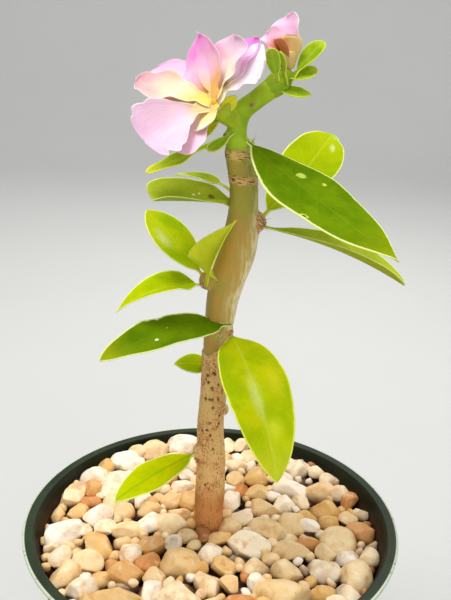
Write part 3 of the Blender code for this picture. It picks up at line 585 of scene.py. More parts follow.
@dataclass(frozen=True)
class LeafSkin(Finish):
    """A waxy leaf with a pale margin, a midrib and faint side veins."""

    length: float = 40.0
    body: Color = srgb(184, 196, 6)
    shade: Color = srgb(152, 180, 8)
    margin: Color = srgb(230, 238, 150)
    tip: Color = srgb(190, 200, 24)
    rib: Color = srgb(198, 212, 66)
    under: Color = srgb(174, 184, 40)
    rib_width: float = 0.55
    rib_share: float = 0.28
    veins: float = 8.0
    vein_slant: float = 1.6
    vein_share: float = 0.07
    margin_width: float = 0.55
    low_margin: float = 1.0
    cloud_scale: float = 0.09
    fine_scale: float = 0.8
    marks: tuple[Mark, ...] = ()

    def sockets(self, graph: Graph) -> dict[str, Value]:
        """Clouded green with veins and margin, and a paler underside.

        Args:
            graph: Where the nodes are made.

        Returns:
            What goes into the shader's inputs, by name.
        """
        point = graph.millimetres()
        along, across, half = graph.split(graph.attribute("blade", "Vector"))
        lower = graph.attribute("under")
        inset = (1.0 - abs(across)) * half
        run = abs(across) * half
        cloud = graph.noise(point, self.cloud_scale, 3.0)
        fine = graph.noise(point, self.fine_scale, 3.0)
        offset = graph.fade(across, -0.01, 0.01) * 0.5
        wave = graph.maths("FRACT", along * self.veins - abs(across) * self.vein_slant + offset)
        vein = graph.fade(abs(wave - 0.5), 0.4, 0.5) * graph.fade(inset, 0.3, 2.0)
        rib = graph.fade(run, self.rib_width, self.rib_width * 0.3)
        color = graph.layered(
            self.shade, (graph.fade(cloud + fine * 0.2, 0.42, 0.74), self.body),
            (graph.fade(along, 0.72, 1.0) * 0.55, self.tip), (vein * self.vein_share, self.rib),
            (lower * 0.7, self.under), (rib * self.rib_share, self.rib))
        for mark in self.marks:
            ahead = (along - mark.along) * (self.length / mark.stretch)
            beside = (across - mark.across) * half
            away = (ahead * ahead + beside * beside) ** 0.5 + (fine - 0.5) * mark.radius
            spot = graph.fade(away, mark.radius, mark.radius * mark.core)
            color = graph.blend(spot * mark.share, color, mark.color)
        width = self.margin_width * (1.0 + graph.fade(across, 0.5, -0.5) * (self.low_margin - 1.0))
        edge = graph.fade((inset + (fine - 0.5) * 0.5) / width, 1.0, 0.3)
        return {
            "Base Color": graph.blend(edge, color, self.margin),
            "Roughness": cloud * 0.14 + 0.42 + lower * 0.16,
            "Normal": graph.bump(fine * 0.35 + vein * -0.3, 0.14),
            "Subsurface Weight": 0.12,
            "Subsurface Radius": (0.5, 0.8, 0.15),
            "Subsurface Scale": 1.2 * MM,
            "Specular IOR Level": 0.0,
        }


@dataclass(frozen=True)
class PetalSilk(Finish):
    """Thin petals, tinted by an attribute, with fine lengthwise veins and a pale rim."""

    rim: Color = srgb(255, 248, 236)
    rim_width: float = 0.6
    lines_across: float = 22.0
    lines_along: float = 2.2
    cloud_scale: float = 0.16
    fine_scale: float = 0.9

    def sockets(self, graph: Graph) -> dict[str, Value]:
        """The petal's tint with veins and rim.

        Args:
            graph: Where the nodes are made.

        Returns:
            What goes into the shader's inputs, by name.
        """
        along, across, half = graph.split(graph.attribute("blade", "Vector"))
        tint = graph.attribute("tint", "Color")
        point = graph.millimetres()
        cloud = graph.noise(point, self.cloud_scale, 3.0)
        fine = graph.noise(point, self.fine_scale, 4.0)
        lines = graph.node("ShaderNodeCombineXYZ", {}, {
            0: across * self.lines_across, 1: along * self.lines_along})
        vein = graph.noise(lines, 1.0, 2.0)
        dark = graph.node("ShaderNodeHueSaturation", {}, {"Color": tint, "Saturation": 1.55,
                                                          "Value": 0.97}, "Color")
        inset = (1.0 - abs(across)) * half + (fine - 0.5) * 0.8
        edge = graph.fade(inset, self.rim_width, 0.1)
        return {
            "Base Color": graph.layered(
                tint, (graph.fade(vein, 0.48, 0.72) * 0.42, dark),
                (graph.fade(cloud, 0.52, 0.72) * 0.25, dark),
                (edge * graph.attribute("rim"), self.rim)),
            "Roughness": fine * 0.15 + 0.5,
            "Normal": graph.bump(vein * 0.6 + fine * 0.4, 0.12),
            "Subsurface Weight": 0.3,
            "Subsurface Radius": (1.0, 0.6, 0.6),
            "Subsurface Scale": 1.5 * MM,
            "Specular IOR Level": 0.2,
        }


@dataclass(frozen=True)
class PlainGrowth(Finish):
    """Small growth such as spines or wool, from one colour at its foot to another."""

    foot: Color = srgb(150, 100, 60)
    tip: Color = srgb(220, 190, 150)
    rough: float = 0.6
    fine_scale: float = 1.2

    def sockets(self, graph: Graph) -> dict[str, Value]:
        """A blend from foot to tip with a little noise.

        Args:
            graph: Where the nodes are made.

        Returns:
            What goes into the shader's inputs, by name.
        """
        reach = graph.attribute("reach")
        fine = graph.noise(graph.millimetres(), self.fine_scale, 3.0)
        share = graph.fade(reach + fine * 0.4, 0.3, 1.0)
        return {
            "Base Color": graph.blend(share, self.foot, self.tip),
            "Roughness": fine * 0.2 + self.rough,
        }


@dataclass(frozen=True)
class StudioPaper(Finish):
    """The plain pale floor."""

    paper: Color = srgb(208, 208, 205)
    shade: Color = srgb(202, 202, 199)
    cloud_scale: float = 0.004

    def sockets(self, graph: Graph) -> dict[str, Value]:
        """Almost even paper."""
        cloud = graph.noise(graph.millimetres(), self.cloud_scale, 2.0)
        return {"Base Color": graph.blend(cloud, self.paper, self.shade), "Roughness": 0.85}


# Meshes


@dataclass
class Shape:
    """Points in millimetres, faces, and one row of each attribute for every point."""

    points: np.ndarray
    faces: list[list[int]]
    layers: dict[str, np.ndarray] = field(default_factory=dict)

    def joined(self, other: "Shape") -> "Shape":
        """Put two shapes in one.

        Args:
            other: The shape to add, with the same attributes.

        Returns:
            Both shapes, with the second one's faces renumbered.
        """
        shift = len(self.points)
        faces = self.faces + [[index + shift for index in face] for face in other.faces]
        layers = {name: np.concatenate((rows, other.layers[name]))
                  for name, rows in self.layers.items()}
        return Shape(np.concatenate((self.points, other.points)), faces, layers)

    def with_layers(self, **rows: Union[float, tuple]) -> "Shape":
        """Give every point the same attribute values.

        Args:
            rows: One number, vector or colour for each attribute.

        Returns:
            The same shape.
        """
        for name, row in rows.items():
            self.layers[name] = np.tile(np.asarray(row, float), (len(self.points), 1))
        return self


class Piece:
    """Makes a Blender object of a shape, dresses it and hangs it on the root body."""

    KINDS = {1: ("FLOAT", "value"), 3: ("FLOAT_VECTOR", "vector"), 4: ("FLOAT_COLOR", "color")}

    @classmethod
    def mesh(cls, name: str, shape: Shape) -> bpy.types.Object:
        """Make an object of a shape.

        Args:
            name: The object's name.
            shape: Its points, faces and attributes.

        Returns:
            The object, with smooth faces that point outwards, and its place in its mesh.
        """
        mesh = bpy.data.meshes.new(name)
        mesh.from_pydata((shape.points * MM).tolist(), [], shape.faces)
        if shape.faces:
            work = bmesh.new()
            work.from_mesh(mesh)
            bmesh.ops.recalc_face_normals(work, faces=work.faces)
            work.to_mesh(mesh)
            work.free()
        for layer, rows in shape.layers.items():
            rows = np.asarray(rows, float).reshape(len(shape.points), -1)
            kind, part = cls.KINDS[rows.shape[1]]
            mesh.attributes.new(layer, kind, "POINT").data.foreach_set(part, rows.ravel())
        mesh.shade_smooth()
        made = bpy.data.objects.new(name, mesh)
        bpy.context.scene.collection.objects.link(made)
        return made

    @staticmethod
    def applied(piece: bpy.types.Object) -> bpy.types.Object:
        """Replace a piece's mesh by what its modifiers make of it, and remove them.

        Args:
            piece: The piece with live modifiers.

        Returns:
            The same piece, plain.
        """
        graph = bpy.context.evaluated_depsgraph_get()
        made = bpy.data.meshes.new_from_object(piece.evaluated_get(graph), depsgraph=graph)
        piece.modifiers.clear()
        piece.data = made
        return piece

    @staticmethod
    def finish(piece: bpy.types.Object, finish: Finish, slot: str, *nodes: str) -> None:
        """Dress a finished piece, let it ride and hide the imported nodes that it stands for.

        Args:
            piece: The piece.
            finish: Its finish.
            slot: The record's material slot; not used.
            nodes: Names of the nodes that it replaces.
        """
        piece.data.materials.clear()
        piece.data.materials.append(finish.material())
        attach(piece, BODY)
        if nodes:
            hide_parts(*nodes)
        LOG.info("%s: %d faces", piece.name, len(piece.data.polygons))


def arc(middle: Pair, radius: float, first: float, step: float,
        count: int) -> list[Pair]:
    """Points of an arc of a profile, from its first angle and the step between two of them.

    Args:
        middle: Middle of the arc.
        radius: Its radius.
        first: Angle of the first point in degrees.
        step: Degrees from one point to the next.
        count: How many points there are.

    Returns:
        The points, in order.
    """
    angles = [math.radians(first + step * k) for k in range(count)]
    return [(middle[0] + radius * math.cos(angle), middle[1] + radius * math.sin(angle))
            for angle in angles]


def lathe(profile: Sequence[Pair], segments: int) -> Shape:
    """Turn a closed profile about the Z axis.

    Args:
        profile: Radius and height of each point, the first and last ones on the axis.
        segments: How many points one turn has.

    Returns:
        The closed shape.
    """
    points: list[Place] = []
    rings = []
    for radius, height in profile:
        first = len(points)
        if radius <= 0.0:
            points.append((0.0, 0.0, height))
            rings.append([first] * segments)
            continue
        for k in range(segments):
            angle = math.tau * k / segments
            points.append((radius * math.cos(angle), radius * math.sin(angle), height))
        rings.append(list(range(first, first + segments)))
    faces = []
    for lower, upper in zip(rings, rings[1:] + rings[:1]):
        if lower[0] == lower[1] and upper[0] == upper[1]:
            continue
        for k in range(segments):
            after = (k + 1) % segments
            face = [lower[k], lower[after], upper[after], upper[k]]
            faces.append(list(dict.fromkeys(face)))
    return Shape(np.array(points), faces)


def smooth_path(path: Sequence[tuple[float, float, float, float]], count: int) -> np.ndarray:
    """Read points of a smooth curve through a path.

    Args:
        path: Place and radius of each of the path's points.
        count: How many stretches the result has.

    Returns:
        Place and radius, one row a point.
    """
    rows = np.array(path, float)
    first, last = rows[0] * 2 - rows[1], rows[-1] * 2 - rows[-2]
    rows = np.vstack((first, rows, last))
    result = []
    for i in range(count + 1):
        span = i / count * (len(path) - 1)
        k = min(int(span), len(path) - 2)
        f = span - k
        p0, p1, p2, p3 = rows[k:k + 4]
        result.append((p1 * 2 + (p2 - p0) * f + (p0 * 2 - p1 * 5 + p2 * 4 - p3) * f ** 2
                       + (p1 * 3 - p0 - p2 * 3 + p3) * f ** 3) / 2)
    return np.array(result)


def unit(rows: np.ndarray) -> np.ndarray:
    """Vectors of length 1 that point the same way."""
    return rows / np.linalg.norm(rows, axis=-1, keepdims=True)


def tube(samples: np.ndarray, sides: int, ribs: int = 0, depth: float = 0.0) -> Shape:
    """Make a round body along a row of places with radii, with a low cone at both ends.

    Args:
        samples: Place and radius, one row a point.
        sides: How many points one ring has.
        ribs: How many shallow ribs run along it.
        depth: The ribs' depth, as a share of the radius.

    Returns:
        The closed shape.
    """
    middle, radius = samples[:, :3], samples[:, 3]
    tangent = unit(np.gradient(middle, axis=0))
    across = unit(np.cross((0.0, 1.0, 0.0), tangent))
    deep = np.cross(tangent, across)
    turn = np.arange(sides) * math.tau / sides
    reach = radius[:, None] * (1.0 + depth * np.sin(ribs * turn))
    points = (middle[:, None] + across[:, None] * (reach * np.cos(turn))[..., None]
              + deep[:, None] * (reach * np.sin(turn))[..., None]).reshape(-1, 3)
    faces = []
    for i in range(len(samples) - 1):
        for k in range(sides):
            a, b = i * sides + k, i * sides + (k + 1) % sides
            faces.append([a, b, b + sides, a + sides])
    count = len(points)
    caps = np.array((middle[0] - tangent[0] * radius[0] * CAP_SHARE,
                     middle[-1] + tangent[-1] * radius[-1] * CAP_SHARE))
    for k in range(sides):
        after = (k + 1) % sides
        faces.append([count, after, k])
        faces.append([count + 1, count - sides + k, count - sides + after])
    return Shape(np.concatenate((points, caps)), faces)


def ball(centre: Place, half: Place, rounds: int = 3) -> Shape:
    """Make a stretched ball.

    Args:
        centre: Its middle.
        half: Its half sizes.
        rounds: How finely it is divided.

    Returns:
        The closed shape.
    """
    work = bmesh.new()
    bmesh.ops.create_icosphere(work, subdivisions=rounds, radius=1.0)
    points = np.array([vert.co[:] for vert in work.verts]) * half + centre
    faces = [[vert.index for vert in face.verts] for face in work.faces]
    work.free()
    return Shape(points, faces)


def direction(compass: np.ndarray, rise: np.ndarray) -> np.ndarray:
    """Unit vectors from compass angles and rises in radians."""
    level = np.cos(rise)
    return np.stack((level * np.cos(compass), level * np.sin(compass), np.sin(rise)), axis=-1)


@dataclass(frozen=True)
class Blade:
    """A leaf, bract or petal: where it starts, the way it points and its outline.

    The compass angle runs from +X towards +Y, and the rise from level to straight up. Droop, swing
    and twist are how far rise, compass angle and roll have changed at the tip. Taper sets the
    outline: a small first value makes a full base, and a small second one a blunt tip.
    """

    base: Place
    compass: float
    rise: float
    length: float
    width: float
    droop: float = 0.0
    swing: float = 0.0
    roll: float = 0.0
    twist: float = 0.0
    fold: float = 10.0
    taper: Pair = (0.8, 0.8)
    stalk: float = 0.08
    root: float = 2.5
    wave: float = 0.0
    waves: float = 2.5

    MIN_STALK = 0.9
    MIN_TIP = 0.35
    TIP_CROWDING = 1.6
    FINE = 4

    def rows(self, steps: int) -> tuple[np.ndarray, ...]:
        """Follow the midrib from the root to the tip.

        Args:
            steps: How many rows the blade has past its start.

        Returns:
            Share of the length, place, side and normal of each row.
        """
        share = np.linspace(0.0, 1.0, steps * self.FINE + 1)
        t = 1.0 - (1.0 - share) ** self.TIP_CROWDING
        compass = np.radians(self.compass + self.swing * t)
        rise = np.radians(self.rise - self.droop * t)
        way = direction(compass, rise)
        up = direction(compass, rise + math.pi / 2.0)
        left = np.cross(up, way)
        roll = np.radians(self.roll + self.twist * t)[:, None]
        normal = up * np.cos(roll) + left * np.sin(roll)
        side = left * np.cos(roll) - up * np.sin(roll)
        step = (way[1:] + way[:-1]) / 2.0 * self.length * np.diff(t)[:, None]
        place = np.array(self.base) + np.vstack((np.zeros(3), np.cumsum(step, axis=0)))
        keep = slice(None, None, self.FINE)
        root = np.array(self.base) - way[0] * self.root
        return (np.concatenate(([-self.root / self.length], t[keep])),
                np.vstack((root, place[keep])), np.vstack((side[0], side[keep])),
                np.vstack((normal[0], normal[keep])))

    def half_width(self, t: np.ndarray) -> np.ndarray:
        """Half width at shares of the length.

        Args:
            t: Shares of the length, from 0 at the base to 1 at the tip.

        Returns:
            Half the width at each share.
        """
        a, b = self.taper
        widest = a / (a + b)
        peak = widest ** a * (1.0 - widest) ** b
        u = np.clip((t - self.stalk) / (1.0 - self.stalk), 0.0, 1.0)
        leafy = self.width / 2.0 * u ** a * (1.0 - u) ** b / peak
        least = self.MIN_STALK + (self.MIN_TIP - self.MIN_STALK) * np.clip(t, 0.0, 1.0)
        return np.maximum(np.where(u > 0.0, leafy, 0.0), least)


@dataclass(frozen=True)
class Nick:
    """A small bite out of a margin: its place along, its side, its depth and its length."""

    along: float
    side: float
    depth: float
    reach: float


@dataclass(frozen=True)
class Sheet:
    """How a blade gets its thickness, its relief and its uneven margin."""

    steps: int = 44
    across: int = 22
    thickness: float = 0.6
    edge: float = 0.3
    softness: float = 0.5
    groove: float = 0.16
    keel: float = 0.35
    vein: float = 0.05
    veins: float = 8.0
    vein_slant: float = 1.6
    curl: float = 0.0
    crumple: float = 0.12
    crumple_scale: float = 0.12
    ruffle: float = 0.0
    ruffle_scale: float = 0.22
    jag: float = 0.02
    jag_scale: float = 0.35
    foot: float = 0.0
    nicks: tuple[Nick, ...] = ()

    FOLD_SHARE = 0.15
    FOOT_END = 0.45
    CROWDING = 0.09
    SIDE_SHIFT = 1.3
    FRILL_START = 0.7
    BEND_REACH = 1.2
    RIB_WIDTH = 0.55
    RIB_TAPER = 0.6
    VEIN_EDGE = 0.38
    FINE_SCALE = 2.7
    FINE_SHARE = 0.4
    RIM_SHARE = 0.45

    def shape(self, blade: Blade, seed: float) -> Shape:
        """Make the closed, thin solid of a blade.

        Args:
            blade: Its place and outline.
            seed: Makes its unevenness its own.

        Returns:
            The shape, with the attributes blade and under.
        """
        t, place, side, normal = blade.rows(self.steps)
        share = np.linspace(-1.0, 1.0, self.across + 1)
        v = share - self.CROWDING * np.sin(math.tau * share)
        lean = np.sign(v)
        half = np.repeat(blade.half_width(t)[:, None], len(v), axis=1)
        half = half * self._outline(blade, t, lean, seed)
        half = np.maximum(half, self.foot * smooth_step(t, self.FOOT_END, 0.0)[:, None])
        flat = np.clip((t - blade.stalk) / self.FOLD_SHARE, 0.0, 1.0)[:, None]
        angle = math.radians(blade.fold) * flat
        run = half * np.abs(v)
        wave = (blade.wave * v ** 2 * flat
                * np.sin(math.tau * blade.waves * t[:, None] + self.SIDE_SHIFT * lean))
        rise = np.sqrt((run * np.sin(angle)) ** 2 + self.softness ** 2) - self.softness
        rise = rise + wave + self.curl * flat * np.abs(v) ** 5
        spot = place[:, None] + side[:, None] * (lean * run * np.cos(angle))[..., None]
        rough = self._roughness(spot.reshape(-1, 3), seed).reshape(rise.shape)
        border = np.maximum(np.abs(v) ** 3, smooth_step(t, self.FRILL_START, 1.0)[:, None])
        frill = noise_at(spot.reshape(-1, 3), (self.ruffle_scale,) * 3, seed + 3.0)
        rise = rise + (rough * self.crumple
                       + frill.reshape(rise.shape) * self.ruffle * border) * flat
        bend = np.clip(run / self.BEND_REACH, 0.0, 1.0) * np.sin(angle) * lean
        out = unit(normal[:, None] * np.cos(angle)[..., None] - side[:, None] * bend[..., None])
        spot = spot + normal[:, None] * rise[..., None]
        thick = self.edge + (self.thickness - self.edge) * (1.0 - np.abs(v) ** 3)
        thin = (1.0 - self.RIB_TAPER * np.clip(t, 0.0, 1.0))[:, None]
        rib = np.exp(-(run / self.RIB_WIDTH) ** 2) * thin
        cross = t[:, None] * self.veins - np.abs(v) * self.vein_slant + 0.5 * (v > 0.0)
        line = 1.0 - smooth_step(np.abs(cross % 1.0 - 0.5), 0.5, self.VEIN_EDGE)
        line = line * flat * (1.0 - v ** 4)
        top = thick / 2.0 - self.groove * rib - self.vein * line
        low = thick / 2.0 + self.keel * rib + self.vein * line
        upper = spot + out * top[..., None]
        lower = spot - out * low[..., None]
        return self._closed(upper, lower, t, v, half, side, lean)

    def _outline(self, blade: Blade, t: np.ndarray, lean: np.ndarray, seed: float) -> np.ndarray:
        """Make the outline uneven on each side and take the nicks out of it.

        Args:
            blade: The blade.
            t: Shares of its length.
            lean: The side each column is on, -1 or 1, and 0 in the middle.
            seed: Makes the unevenness its own.

        Returns:
            What the half width is multiplied by, one row a share.
        """
        factor = np.ones((len(t), len(lean)))
        for sign in (-1.0, 1.0):
            line = np.stack((t * blade.length, np.full_like(t, sign * 50.0),
                             np.zeros_like(t)), axis=1)
            jag = noise_at(line, (self.jag_scale, 1.0, 1.0), seed + 7.0)
            width = 1.0 + self.jag * jag
            for nick in self.nicks:
                if nick.side == sign:
                    away = (t - nick.along) * blade.length / nick.reach
                    width = width - nick.depth * 2.0 / blade.width * np.exp(-away ** 2)
            factor[:, lean == sign] = width[:, None]
        return factor

    def _roughness(self, points: np.ndarray, seed: float) -> np.ndarray:
        """Coarse and fine unevenness of the surface.

        Args:
            points: Places on the blade.
            seed: Makes the unevenness its own.

        Returns:
            How far each point is moved, before its depth is applied.
        """
        coarse = noise_at(points, (self.crumple_scale,) * 3, seed)
        fine = noise_at(points, (self.crumple_scale * self.FINE_SCALE,) * 3, seed + 1.0)
        return coarse + self.FINE_SHARE * fine

    def _closed(self, upper: np.ndarray, lower: np.ndarray, t: np.ndarray, v: np.ndarray,
                half: np.ndarray, side: np.ndarray, lean: np.ndarray) -> Shape:
        """Close the two faces with a rounded margin.

        Args:
            upper: Points of the upper face, in rows and columns.
            lower: Points of the lower face.
            t: Share of the length of each row.
            v: Place of each column across the blade.
            half: Half width at each point.
            side: Direction across the blade in each row.
            lean: The side each column is on, -1 or 1, and 0 in the middle.

        Returns:
            The closed shape, with the attributes blade and under.
        """
        rows, columns = half.shape
        rims = []
        for k in (0, columns - 1):
            middle = (upper[:, k] + lower[:, k]) / 2.0
            reach = np.linalg.norm(upper[:, k] - lower[:, k], axis=1)[:, None]
            rims.append(middle + side * lean[k] * reach * self.RIM_SHARE)
        points = np.concatenate((upper.reshape(-1, 3), lower.reshape(-1, 3), *rims))
        count = rows * columns
        faces = []
        for i in range(rows - 1):
            for k in range(columns - 1):
                a = i * columns + k
                quad = (a, a + 1, a + 1 + columns, a + columns)
                faces.append(list(quad))
                faces.append([index + count for index in reversed(quad)])
            for rim, k in enumerate((0, columns - 1)):
                a, b = i * columns + k, (i + 1) * columns + k
                r, s = 2 * count + rim * rows + i, 2 * count + rim * rows + i + 1
                turn = 1 if rim else -1
                faces.append([a, r, s, b][::turn])
                faces.append([r, a + count, b + count, s][::turn])
        for i, turn in ((0, 1), (rows - 1, -1)):
            loop = [i * columns + k for k in range(columns)]
            loop.append(2 * count + rows + i)
            loop += [i * columns + k + count for k in reversed(range(columns))]
            loop.append(2 * count + i)
            faces.append(loop[::turn])
        grid_t = np.repeat(np.clip(t, 0.0, 1.0)[:, None], columns, axis=1)
        grid_v = np.repeat(v[None], rows, axis=0)
        grid = np.stack((grid_t, grid_v, half), axis=2)
        sheet = grid.reshape(-1, 3)
        layer = np.concatenate((sheet, sheet, grid[:, 0], grid[:, -1]))
        under = np.concatenate((np.zeros(count), np.ones(count), np.full(2 * rows, 0.5)))
        return Shape(points, faces, {"blade": layer, "under": under[:, None]})


class Recipe:
    """A Geometry Nodes tree with named inputs, whose result becomes a plain mesh."""

    def __init__(self, name: str, inputs: dict[str, str]) -> None:
        """Make the empty tree.

        Args:
            name: The tree's name.
            inputs: Socket type of each named input, after the geometry.
        """
        self.tree = bpy.data.node_groups.new(name, "GeometryNodeTree")
        self.graph = Graph(self.tree)
        sides = self.tree.interface
        sides.new_socket("Geometry", in_out="INPUT", socket_type="NodeSocketGeometry")
        sides.new_socket("Geometry", in_out="OUTPUT", socket_type="NodeSocketGeometry")
        self.sockets = {}
        for label, kind in inputs.items():
            made = sides.new_socket(label, in_out="INPUT", socket_type="NodeSocket" + kind)
            self.sockets[label] = made.identifier
        self.source = self.graph.node("NodeGroupInput")

    def named(self, name: str, kind: str = "FLOAT") -> Wire:
        """Read a named attribute of the geometry."""
        return self.graph.node("GeometryNodeInputNamedAttribute", {"data_type": kind},
                               {"Name": name})

    def random(self, low: Value, high: Value, key: Wire, seed: Value,
               vector: bool = False) -> Wire:
        """A random number or vector that stays the same for the same key.

        Args:
            low: Lower limit.
            high: Upper limit.
            key: Points of the same key get the same draw.
            seed: Makes the draw its own.
            vector: Whether to draw a vector.

        Returns:
            The drawn value.
        """
        first = 0 if vector else 2
        kind = "FLOAT_VECTOR" if vector else "FLOAT"
        return self.graph.node("FunctionNodeRandomValue", {"data_type": kind},
                               {first: low, first + 1: high, "ID": key, "Seed": seed},
                               0 if vector else 1)

    def stored(self, geometry: Wire, name: str, kind: str, value: Wire) -> Wire:
        """Keep a value of each point as a named attribute.

        Args:
            geometry: What has the points.
            name: The attribute's name.
            kind: The attribute's data type.
            value: What it keeps.

        Returns:
            The geometry with the attribute.
        """
        return self.graph.node("GeometryNodeStoreNamedAttribute",
                               {"data_type": kind, "domain": "POINT"},
                               {"Geometry": geometry, "Name": name, "Value": value})

    def end(self, geometry: Wire) -> None:
        """End the tree: real geometry, smooth, with its material.

        Args:
            geometry: What the recipe has made.
        """
        real = self.graph.node("GeometryNodeRealizeInstances", {}, {"Geometry": geometry})
        smooth = self.graph.node("GeometryNodeSetShadeSmooth", {}, {"Geometry": real})
        dressed = self.graph.node("GeometryNodeSetMaterial", {}, {
            "Geometry": smooth, "Material": self.source.other("Material")})
        self.graph.node("NodeGroupOutput", {}, {"Geometry": dressed})

    def bake(self, piece: bpy.types.Object, **values: Value) -> bpy.types.Object:
        """Run the tree on a piece.

        Args:
            piece: The piece whose mesh goes in.
            values: A value for each named input, with _ for a space.

        Returns:
            The piece, with the result as its plain mesh.
        """
        modifier = piece.modifiers.new(self.tree.name, "NODES")
        modifier.node_group = self.tree
        for label, value in values.items():
            modifier[self.sockets[label.replace("_", " ")]] = value
        return Piece.applied(piece)


class StoneRecipe(Recipe):
    """Turns each point into a worn stone: a ball, cut by soft planes, swollen and turned."""

    FACETS = 7
    NEAR, FAR = 0.56, 0.86
    STONE_STEP = 3.7

    def __init__(self) -> None:
        """Build the tree."""
        super().__init__("river_stones", {
            "Rounds": "Int", "Facet": "Float", "Swell": "Float", "Swell Scale": "Float",
            "Wall": "Float", "Flare": "Float", "Seed": "Int", "Material": "Material"})
        graph, source = self.graph, self.source
        round_ball = graph.node("GeometryNodeMeshIcoSphere", {}, {
            "Radius": 1.0, "Subdivisions": source.other("Rounds")})
        here = graph.node("GeometryNodeInputPosition")
        marked = self.stored(round_ball, "unit", "FLOAT_VECTOR", here)
        laid = graph.node("GeometryNodeInstanceOnPoints", {}, {
            "Points": source.other("Geometry"), "Instance": marked})
        real = graph.node("GeometryNodeRealizeInstances", {}, {"Geometry": laid})
        moved = graph.node("GeometryNodeSetPosition", {}, {
            "Geometry": real, "Position": self._place()})
        self.end(moved)

    def _place(self) -> Wire:
        """Where each point of each stone goes.

        Returns:
            The place.
        """
        graph, source = self.graph, self.source
        stone = self.named("stone", "INT")
        point = self.named("unit", "FLOAT_VECTOR")
        for k in range(self.FACETS):
            seed = source.other("Seed") + float(2 * k)
            aim = self.random((-1.0, -1.0, -1.0), (1.0, 1.0, 1.0), stone, seed, True)
            aim = graph.vector("NORMALIZE", aim)
            reach = self.random(self.NEAR, self.FAR, stone, seed + 1.0)
            past = graph.vector("DOT_PRODUCT", point, aim, out="Value") - reach
            past = graph.maths("MAXIMUM", past, 0.0) * source.other("Facet")
            point = graph.vector("SUBTRACT", point, graph.scaled(aim, past))
        swell = graph.node("ShaderNodeTexNoise", {"noise_dimensions": "4D"}, {
            "Vector": point, "W": stone * self.STONE_STEP, "Scale": source.other("Swell Scale"),
            "Detail": 3.0}, 0)
        point = graph.scaled(point, (swell - 0.5) * source.other("Swell") + 1.0)
        point = graph.vector("MULTIPLY", point, self.named("half", "FLOAT_VECTOR"))
        point = graph.node("ShaderNodeVectorRotate", {"rotation_type": "EULER_XYZ"}, {
            "Vector": point, "Rotation": self.named("turn", "FLOAT_VECTOR")})
        point = graph.vector("ADD", point, self.named("centre", "FLOAT_VECTOR"))
        x, y, z = graph.split(point)
        radius = (x * x + y * y) ** 0.5
        wall = z * source.other("Flare") + source.other("Wall")
        pull = graph.maths("MINIMUM", wall / radius, 1.0)
        return graph.node("ShaderNodeCombineXYZ", {}, {0: x * pull, 1: y * pull, 2: z})


class TuftRecipe(Recipe):
    """Puts a slim pointed shaft on each point, along its own aim and as long as it says."""

    def __init__(self) -> None:
        """Build the tree."""
        super().__init__("tufts", {"Thickness": "Float", "Tip": "Float", "Sides": "Int",
                                   "Material": "Material"})
        graph, source = self.graph, self.source
        aim = self.named("aim", "FLOAT_VECTOR")
        shaft = graph.node("GeometryNodeMeshCone", {}, {
            "Vertices": source.other("Sides"), "Side Segments": 2,
            "Radius Top": source.other("Tip"), "Radius Bottom": 1.0, "Depth": 1.0}, "Mesh")
        height = graph.split(graph.node("GeometryNodeInputPosition"))[2]
        marked = self.stored(shaft, "reach", "FLOAT", height)
        turned = graph.node("FunctionNodeAlignRotationToVector", {"axis": "Z"}, {"Vector": aim})
        thick = source.other("Thickness")
        scale = graph.node("ShaderNodeCombineXYZ", {}, {0: thick, 1: thick,
                                                        2: self.named("length")})
        self.end(graph.node("GeometryNodeInstanceOnPoints", {}, {
            "Points": source.other("Geometry"), "Instance": marked, "Rotation": turned,
            "Scale": scale}))


# The pot and its fill


